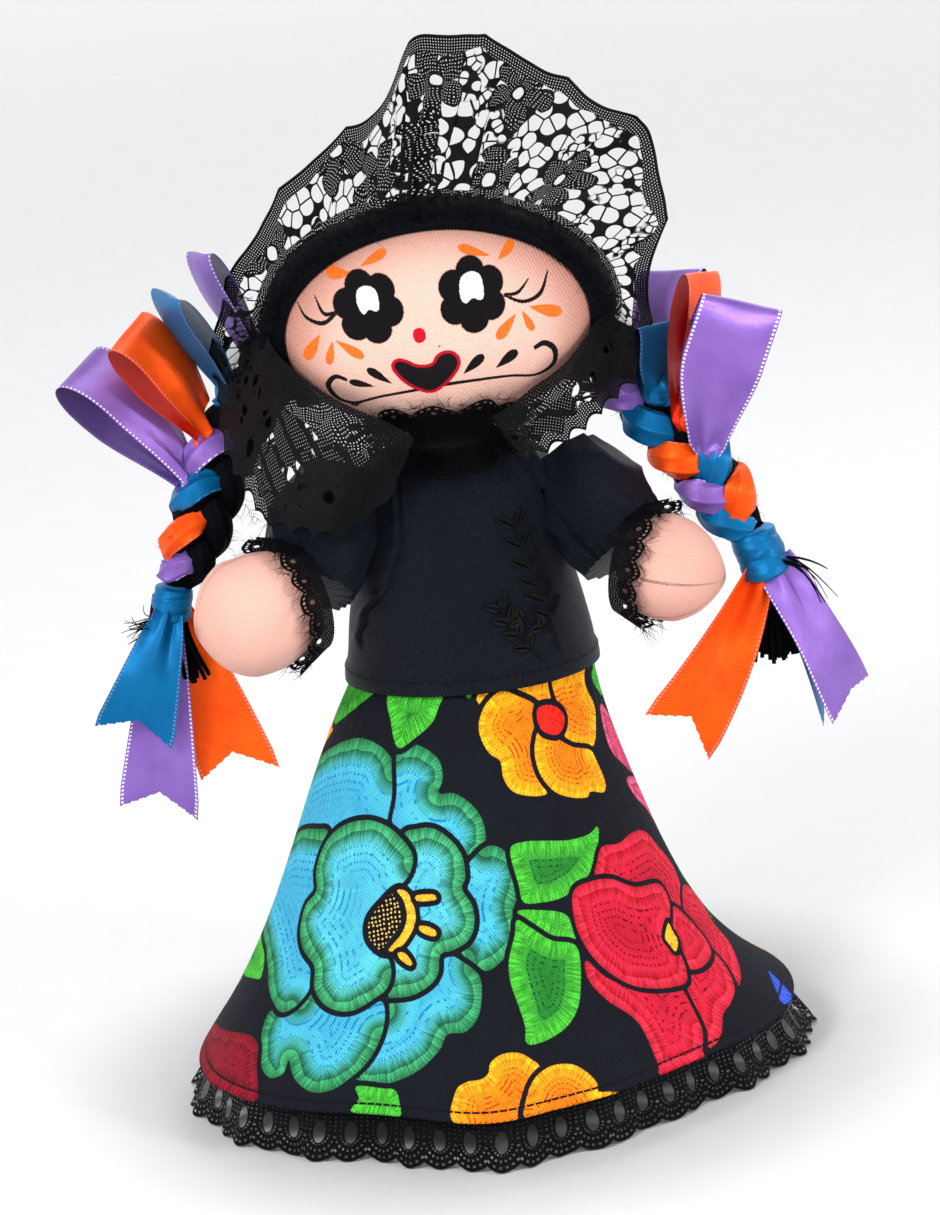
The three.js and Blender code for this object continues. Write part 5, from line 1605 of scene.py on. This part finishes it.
def ribbon_piece(name, grid, long_mm, colour_name, node):
    """A stretch of ribbon from a grid of points, rows along it, with its length and its place across it."""
    rows, columns = grid.shape[:2]
    across = np.linspace(-RIBBON_WIDTH / 2, RIBBON_WIDTH / 2, columns)
    cloth = np.stack([np.broadcast_to(long_mm[:, None], (rows, columns)),
                      np.broadcast_to(across, (rows, columns)), np.zeros((rows, columns))], -1)
    piece = make_piece(name, grid.reshape(-1, 3), grid_faces(rows, columns), {"ribbon": cloth.reshape(-1, 3)})
    dress(piece, SATINS[colour_name], node)
    return piece


def length_along(middle):
    return np.concatenate([[0], np.cumsum(np.linalg.norm(np.diff(middle, axis=0), axis=1))])


# %% The bow loops
# colour, root in the plait, tip, across the ribbon, gap, and the side of the plait that it lies on
LOOPS = {
    "right_1": ("purple", (-73, 4, 187), (-106.5, 9.3, 226), (8, 20, 8.8), 5.2, (-0.7, -0.7, 0)),
    "right_2": ("orange", (-67, 7, 199), (-90.4, 6, 236.4), (7.5, 20, 6.6), 3.8, (-0.7, -0.7, 0)),
    "right_3": ("blue", (-59, 13, 209), (-77, 5.6, 246.4), (-8, 21, -3), 2.6, (-0.7, -0.7, 0)),
    "right_4": ("purple", (-53, 18, 221), (-66.6, 18, 255.6), (-9, 21, -1), 2.2, (0, 1, 0)),
    "left_1": ("purple", (77, -7, 183), (91.4, -14.4, 231.8), (25, -1, -8.6), 4.4, (0.4, -0.9, 0)),
    "left_2": ("orange", (71.5, -1, 189), (80.6, 4.4, 237.8), (8, 18, -6), 2.8, (0.4, -0.9, 0)),
    "left_3": ("purple", (63, 7, 197), (74, 25, 235), (18, -9, 9), 3, (0, 1, 0)),
    "left_4": ("blue", (65, 4, 198), (67.6, 5, 223.6), (10, 13, 4), 1.6, (0.4, -0.9, 0)),
}


OUT_OF_YARN = STRAND + 1.3


def off_the_plait(grid, plait, way, shown):
    """Moves points out of the plait's strands along one way: a point p leaves a round strand of radius R
    about c at the larger root t of |p + t way - c| = R. Where shown is 0 the ribbon stays inside."""
    way, points = unit(np.array(way, float)), grid.reshape(-1, 1, 3)
    spots = np.concatenate([strand_at(plait, strand, np.linspace(0.02, 0.98, 70))[0] for strand in range(3)])
    beside = points - spots
    along = beside @ way
    under = OUT_OF_YARN ** 2 - (beside ** 2).sum(-1) + along ** 2
    t = np.where(under > 0, np.sqrt(np.maximum(under, 0)) - along, 0)
    t = np.where(t > 2 * OUT_OF_YARN, 0, t).max(1).clip(0)
    return grid + (t.reshape(grid.shape[:2]) * shown)[..., None] * way


def bow_loop(root, tip, wide, gap):
    """Out from the root in the plait to the tip and back, like a drop. With the share of the way out
    from 0 to 1, the two runs stand apart by a sine times that share, and near the root the ribbon is
    gathered in pleats, a cosine across it."""
    root, tip = np.array(root, float), np.array(tip, float)
    reach = tip - root
    across = np.array(wide, float)
    across = unit(across - reach * (across @ reach) / (reach @ reach))
    out = unit(np.cross(reach, across))
    share = np.linspace(0.015, 0.985, 131)[:, None]
    swing = 2 * np.pi * share
    away = (1 - np.cos(swing)) / 2
    apart = 1.5 * gap * np.sin(swing) * away ** 0.9 + 0.9 * np.cos(swing / 2)
    full = smoothstep(away, -0.08, 0.66)
    side = np.linspace(-1, 1, 41)[None, :]
    half = RIBBON_WIDTH / 2 * (0.35 + 0.65 * full) * (0.4 + 0.6 * smoothstep(away, 0, 0.12))
    pleats = 1.1 * (1 - full) * smoothstep(away, 0, 0.06) * np.cos(side * 6 + 2 * away + tip[0])
    pleats = pleats + 0.6 * full * np.sin(side * 2.4 + 5 * share)
    cup = 0.5 * (1 - side ** 2) * np.sin(swing)
    bow = 0.04 * np.linalg.norm(reach) * np.sin(np.pi * away)
    middle = root + away * reach + apart * out + bow * across * np.sign(across[2])
    grid = middle[:, None] + (half * side)[..., None] * across + (pleats + cup)[..., None] * out
    return grid[:, ::-1], length_along(middle)


for key, (hue, *shape, way) in LOOPS.items():
    grid, long_mm = bow_loop(*shape)
    shown = 1 - smoothstep(np.abs(np.linspace(-1, 1, 131)), 0.8, 0.97)[:, None]
    grid = off_the_plait(grid, PLAITS[key.split("_")[0]], way, shown)
    loop = ribbon_piece(f"satin_loop_{key}", grid, long_mm, hue, f"ribbon_{hue}_loop_{key}")
    long_mm[-1] / 1000

# %% The tails
TAILS = {                                   # colour, start in the knot, end, across, bend, notch, crease
    "right_1": ("blue", (-86.2, -1.5, 152), (-101, -7, 115.5), (24, 0, -10.4), (0, -7, 0), 6, 0.8),
    "right_2": ("purple", (-87, 0, 152), (-96.4, -1, 89), (23.3, 0, -7.2), (0, -5, 0), 7, -0.8),
    "right_3": ("orange", (-84.5, 5, 152), (-70.8, 4, 97.5), (24.4, 0, 1.7), (0, 5, 0), 7, 0.8),
    "left_1": ("orange", (91.5, -10.5, 151), (61.4, -13, 100.6), (19.4, 0, -17.4), (4, -6, 0), 8, -1.2),
    "left_2": ("purple", (94.5, -8.5, 151), (114.5, -12, 107), (6, 18, 5), (1, -4, 2), 3, 4),
    "left_3": ("blue", (94, -5, 151), (108.4, -1, 101), (6, 20, 3), (2, 0, 0), 5, 0.8),
}


def ribbon_tail(start, stop, wide, bend, notch, crease):
    """From within the knot, where it is gathered in pleats, along a bent path to an end with a notch:
    the rows near the end are drawn back in the middle. It widens evenly, and a fold runs down it."""
    start, stop, bend = (np.array(v, float) for v in (start, stop, bend))
    across = unit(np.array(wide, float))
    out = unit(np.cross(stop - start, across))
    share = np.linspace(0, 1, 81)[:, None]
    knee = (start + stop) / 2 + bend
    middle = (1 - share) ** 2 * start + 2 * share * (1 - share) * knee + share ** 2 * stop
    half = RIBBON_WIDTH / 2 * (0.32 + 0.68 * np.clip(share / 0.9, 0, 1) ** 0.75)
    side = np.linspace(-1, 1, 41)[None, :]
    gathered = 1 - smoothstep(share, 0.0, 0.6)
    fold_line = crease * (1 - np.abs(side - 0.2 * crease)) + 1.7 * gathered * np.cos(side * 5 + start[2] + stop[0])
    fold_line = fold_line + 0.7 * np.sin(2.2 * side + 3.4 * share + crease) * share
    back = notch * (1 - np.abs(side)) * smoothstep(share, 0.4, 1)
    fray = 0.2 * (np.sin(side * 61) + np.sin(side * 97 + 1)) * (share > 0.999)
    heading = unit(np.gradient(middle, axis=0))
    grid = middle[:, None] + (half * side)[..., None] * across + fold_line[..., None] * out
    grid = grid - (back + fray)[..., None] * heading[:, None]
    return grid[:, ::-1], length_along(middle)


for key, (hue, *shape) in TAILS.items():
    grid, long_mm = ribbon_tail(*shape)
    tail = ribbon_piece(f"satin_tail_{key}", grid, long_mm, hue, f"ribbon_{hue}_tail_{key}")
    cut = RIBBON_WIDTH * (long_mm[-1] - shape[-2] / 2) / 1e6
    long_mm[-1] / 1000

# %% The bands in the plaits, and the knots
BAND_REACH, BAND_LIFT, FACET = 0.05, 0.9, 0.95
BAND_ARC = {"right": (60, 1.15), "left": (76, 0.6)}     # degrees either way, and how far it faces sideways
TIE_RADIUS = {"right": 5.3, "left": 6.6}
for side, plait in PLAITS.items():
    for number, (hue, strand, share) in enumerate(plait["bands"], 1):
        place = np.linspace(-1.7, 1.7, 61)
        lean = (-1) ** number * np.linspace(-1, 1, 45)
        at = np.clip(share + BAND_REACH * (place[:, None] + 0.55 * lean), 0.0, 1.0)
        middle, wide, deep, swing = (v.reshape(*at.shape, -1) for v in strand_at(plait, strand, at.ravel()))
        heading = unit(np.gradient(middle, axis=0))
        facing = -deep + BAND_ARC[side][1] * np.sin(swing) * wide
        facing = unit(facing - heading * (facing * heading).sum(-1, keepdims=True))
        aside = np.cross(heading, facing)
        arc = np.radians(BAND_ARC[side][0] * (1 - 0.45 * (place / 1.7) ** 2))[:, None]
        turn = arc * np.linspace(-1, 1, 45)[None, :]
        ends = smoothstep(np.abs(place), 1.0, 1.7)[:, None]
        lift = STRAND * np.interp(share, [0, 0.5, 1], [1, 1, 0.8]) + BAND_LIFT - 1.8 * ends
        drift = 0.3 * place[:, None] * (-1) ** number + 0.4 * np.sin(number)
        facet = (turn - drift) / FACET
        crease = lift * (1 / np.cos(FACET * (facet - np.round(facet))) - 1) + 0.25 * wavy(turn * 2, place[:, None], number)
        grid = middle + ((lift + crease) * np.cos(turn))[..., None] * facing
        grid = grid + ((lift + crease) * np.sin(turn))[..., None] * aside
        middle = middle[:, 22]
        node = f"ribbon_{hue}_band_{side}_{number}"
        band = ribbon_piece(f"satin_band_{side}_{number}", grid, length_along(middle), hue, node)

    start, end = (np.array(p, float) for p in plait["knot"])
    share = np.linspace(-0.3, 1.1, 61)[:, None]
    path = start + (end - start) * share
    turns = np.linspace(0, 2 * np.pi, 121)[:-1][None, :]
    wraps = 0.8 * np.abs(np.sin(np.pi * 1.7 * share + 0.9 * np.sin(turns + 1))) ** 0.6
    wraps = wraps + 0.35 * wavy(turns * 1.5, share * 6, 12) + 0.3 * np.exp(-np.abs(share - 0.3 - 0.2 * np.sin(turns)) / 0.05)
    radius = TIE_RADIUS[side] + wraps - 2.8 * smoothstep(np.abs(share - 0.4), 0.52, 0.72)
    grid, _ = tube(path, radius, 120)
    grid = np.concatenate([grid, grid[:, :1]], 1)[::-1].transpose(1, 0, 2)
    knot = ribbon_piece(f"satin_knot_{side}", grid, length_along(grid[:, 30]), "blue", f"ribbon_knot_{side}")

# %% [markdown]
# ## Embroidery and stitches
# A black sprig is embroidered on the blouse's front, and a row of stitches holds its hem. A stitch
# is a short raised bar of shiny thread. One bar of a few dozen faces is made, and it is repeated as
# one array: each copy is stretched from its start to its end on the cloth.

# %% A stitch, many times
def on_blouse(x, z, above=0.0):
    """The place on the blouse's front at x and a height, and the way out of the cloth there."""
    half_x, half_y = body_halves(np.asarray(z, float))
    across = np.clip((x - BODY_X) / half_x, -0.98, 0.98)
    deep = np.sqrt(1 - across ** 2)
    out = unit(np.stack([across / half_x, -deep / half_y, 0 * across], -1))
    return np.stack([BODY_X + across * half_x, -deep * half_y, z + 0 * across], -1) + above * out, out


def stitches(name, starts, ends, out, width, height):
    """Bars from starts to ends, each a six-sided spindle that is flattened towards the cloth."""
    rows, sides = 4, 6
    place = np.linspace(0.08, 0.92, rows)
    turn = np.arange(sides) * 2 * np.pi / sides
    swell = np.sqrt(np.sin(np.pi * place))
    axis = ends - starts
    side = unit(np.cross(axis, out))
    ring = (np.cos(turn)[None, None, :, None] * width / 2 * side[:, None, None]
            + np.sin(turn)[None, None, :, None] * height / 2 * out[:, None, None])
    grid = (starts[:, None] + axis[:, None] * place[:, None])[:, :, None] + ring * swell[:, None, None]
    count = len(starts)
    points = np.concatenate([grid.reshape(count, -1, 3), starts[:, None], ends[:, None]], 1)
    faces = closed_faces(rows, sides)[None] + (np.arange(count) * (rows * sides + 2))[:, None, None]
    comb = np.tile([0.0, 0.0, 0.0], (count * (rows * sides + 2), 1))
    return make_piece(name, points.reshape(-1, 3), faces.reshape(-1, 3), {"comb": comb})


def shiny_thread():
    """Black embroidery thread: fine twisted streaks, and a soft shine."""
    material, surface, here = new_material("embroidery_thread")
    spot = here.new("ShaderNodeTexCoord", {}, {}, "Object")
    streaks = noise(spot, 1500.0)
    connect(surface, Base_Color=blend(streaks, "000001", "030305"), Roughness=streaks * 0.2 + 0.32,
            Specular_IOR_Level=0.15, Normal=bumped(streaks, 0.1))
    return material


# Each branch: the stem's stations as x and height, the leaves' length, and how many pairs of leaves
SPRIG = [
    ([(29, 133), (26.5, 145), (23, 157), (19, 172.5)], 6.2, 6),
    ([(23.5, 132), (19.5, 137), (15.5, 143), (12.5, 149)], 4.6, 4),
    ([(27, 139.5), (22.5, 143), (18.5, 145)], 3.6, 2)]
starts, ends = [], []
for stations, leaf_long, pairs in SPRIG:
    flat = np.column_stack([stations, np.zeros(len(stations))]).astype(float)
    stem = catmull_rom(flat, np.linspace(0, 1, 10 * len(stations)))[:, :2]
    starts.append(stem[:-1])
    ends.append(stem[1:] + 0.3 * (stem[1:] - stem[:-1]))
    places = np.linspace(0.3, 1, pairs)
    roots = catmull_rom(flat, places)[:, :2]
    heading = unit(np.gradient(stem, axis=0))[(places * (len(stem) - 1)).astype(int)]
    for hand in (-1, 1):
        a = hand * np.radians(42)
        leaf = np.stack([heading[:, 0] * math.cos(a) - heading[:, 1] * math.sin(a),
                         heading[:, 0] * math.sin(a) + heading[:, 1] * math.cos(a)], -1)
        side = np.stack([-leaf[:, 1], leaf[:, 0]], -1)
        for share in np.linspace(0.14, 0.97, 9):
            rib = roots + leaf * leaf_long * share
            reach = 1.15 * math.sin(math.pi * share ** 0.8) + 0.3
            for edge in (-1, 1):
                starts.append(rib)
                ends.append(rib + edge * side * reach + leaf * 0.8)
starts, ends = np.concatenate(starts), np.concatenate(ends)
(start_points, out), (end_points, _) = on_blouse(*starts.T, 0.1), on_blouse(*ends.T, 0.1)
sprig = stitches("embroidered_sprig", start_points, end_points, out, 0.6, 0.8)
thread = shiny_thread()
dress(sprig, thread, "blouse")
print(len(starts), "stitches in the sprig")

turn = np.linspace(0, 2 * np.pi, 91)[:-1]
half_x, half_y = body_halves(np.full(90, 129.4))
ring = np.stack([BODY_X + half_x * np.cos(turn), half_y * np.sin(turn), np.full(90, 129.4)], -1)
ahead = np.roll(ring, -1, 0) - ring
out = unit(np.cross(ahead, [0, 0, 1.0]))
hem_stitches = stitches("hem_stitches", ring + out * 0.1, ring + 0.72 * ahead + out * 0.1, out, 0.45, 0.5)
dress(hem_stitches, thread, "blouse")

# %% Frayed threads
random = np.random.default_rng(55)


def frayed(name, edge, heading, count, lengths, node, droop=0.1, width=0.2, spread=0.55):
    """Loose threads from random places of an edge, a row of points, in directions about the heading."""
    pick = random.integers(0, len(edge), count)
    away = unit(heading[pick] + random.normal(0, spread, (count, 3)))
    piece = loose_fibres(name, edge[pick], away, random.uniform(*lengths, count), width, 60 + count, droop)
    dress(piece, fibre, node)


top = ruffle_grid[1]
chin = top[top[:, 1] < -15]
frayed("ruffle_threads", chin, np.broadcast_to([0, -0.5, 0.7], chin.shape), 70, (2, 6), "neck_ruffle")
for side, (edge, outward) in cuff_edges.items():
    frayed(f"cuff_threads_{side}", edge[:-1], outward[:-1] * 0.6 + [0, 0, -0.3], 150, (2, 6.5), f"cuff_lace_{side}")
ends = np.concatenate([lace_points[:, 2], lace_points[-2, :150], lace_points[:, -3]])
frayed("mantilla_threads", ends, np.broadcast_to([0.1, -0.4, -0.5], ends.shape), 150, (2, 7), "lace_mantilla")
# at each knot: where its yarn ends poke out, which way, how many, how far, and how they spread and hang
POKING = {"right": ((-89, 0, 148.5), (-1, -0.1, -0.3), 36, (7, 13), 0.16, 0.05),
          "left": ((97.5, -11, 151.5), (1, -0.2, 0.05), 7, (15, 22), 0.13, 0.35)}
for side, (place, way, count, lengths, spread, droop) in POKING.items():
    edge = np.array(place) + random.normal(0, 0.9, (count, 3))
    frayed(f"plait_threads_{side}", edge, np.broadcast_to(way, edge.shape).astype(float), count, lengths,
           f"plait_{side}", droop, 0.6 if side == "right" else 1.0, spread)
    plait = PLAITS[side]
    share, strand = random.uniform(0.05, 0.97, 420), random.integers(0, 3, 420)
    middle, wide, deep, _ = (np.choose(strand[:, None] if v.ndim > 1 else strand, list(parts)) for v, parts in
                             ((parts[0], parts) for parts in zip(*(strand_at(plait, k, share) for k in range(3)))))
    turn = random.uniform(0, 2 * np.pi, (420, 1))
    out = np.cos(turn) * wide + np.sin(turn) * deep
    fuzz = loose_fibres(f"plait_fuzz_{side}", middle + out * 4.6, unit(out + random.normal(0, 0.6, out.shape)),
                        random.uniform(1.5, 5, 420), 0.16, 83, 0.1)
    dress(fuzz, fibre, f"plait_{side}")
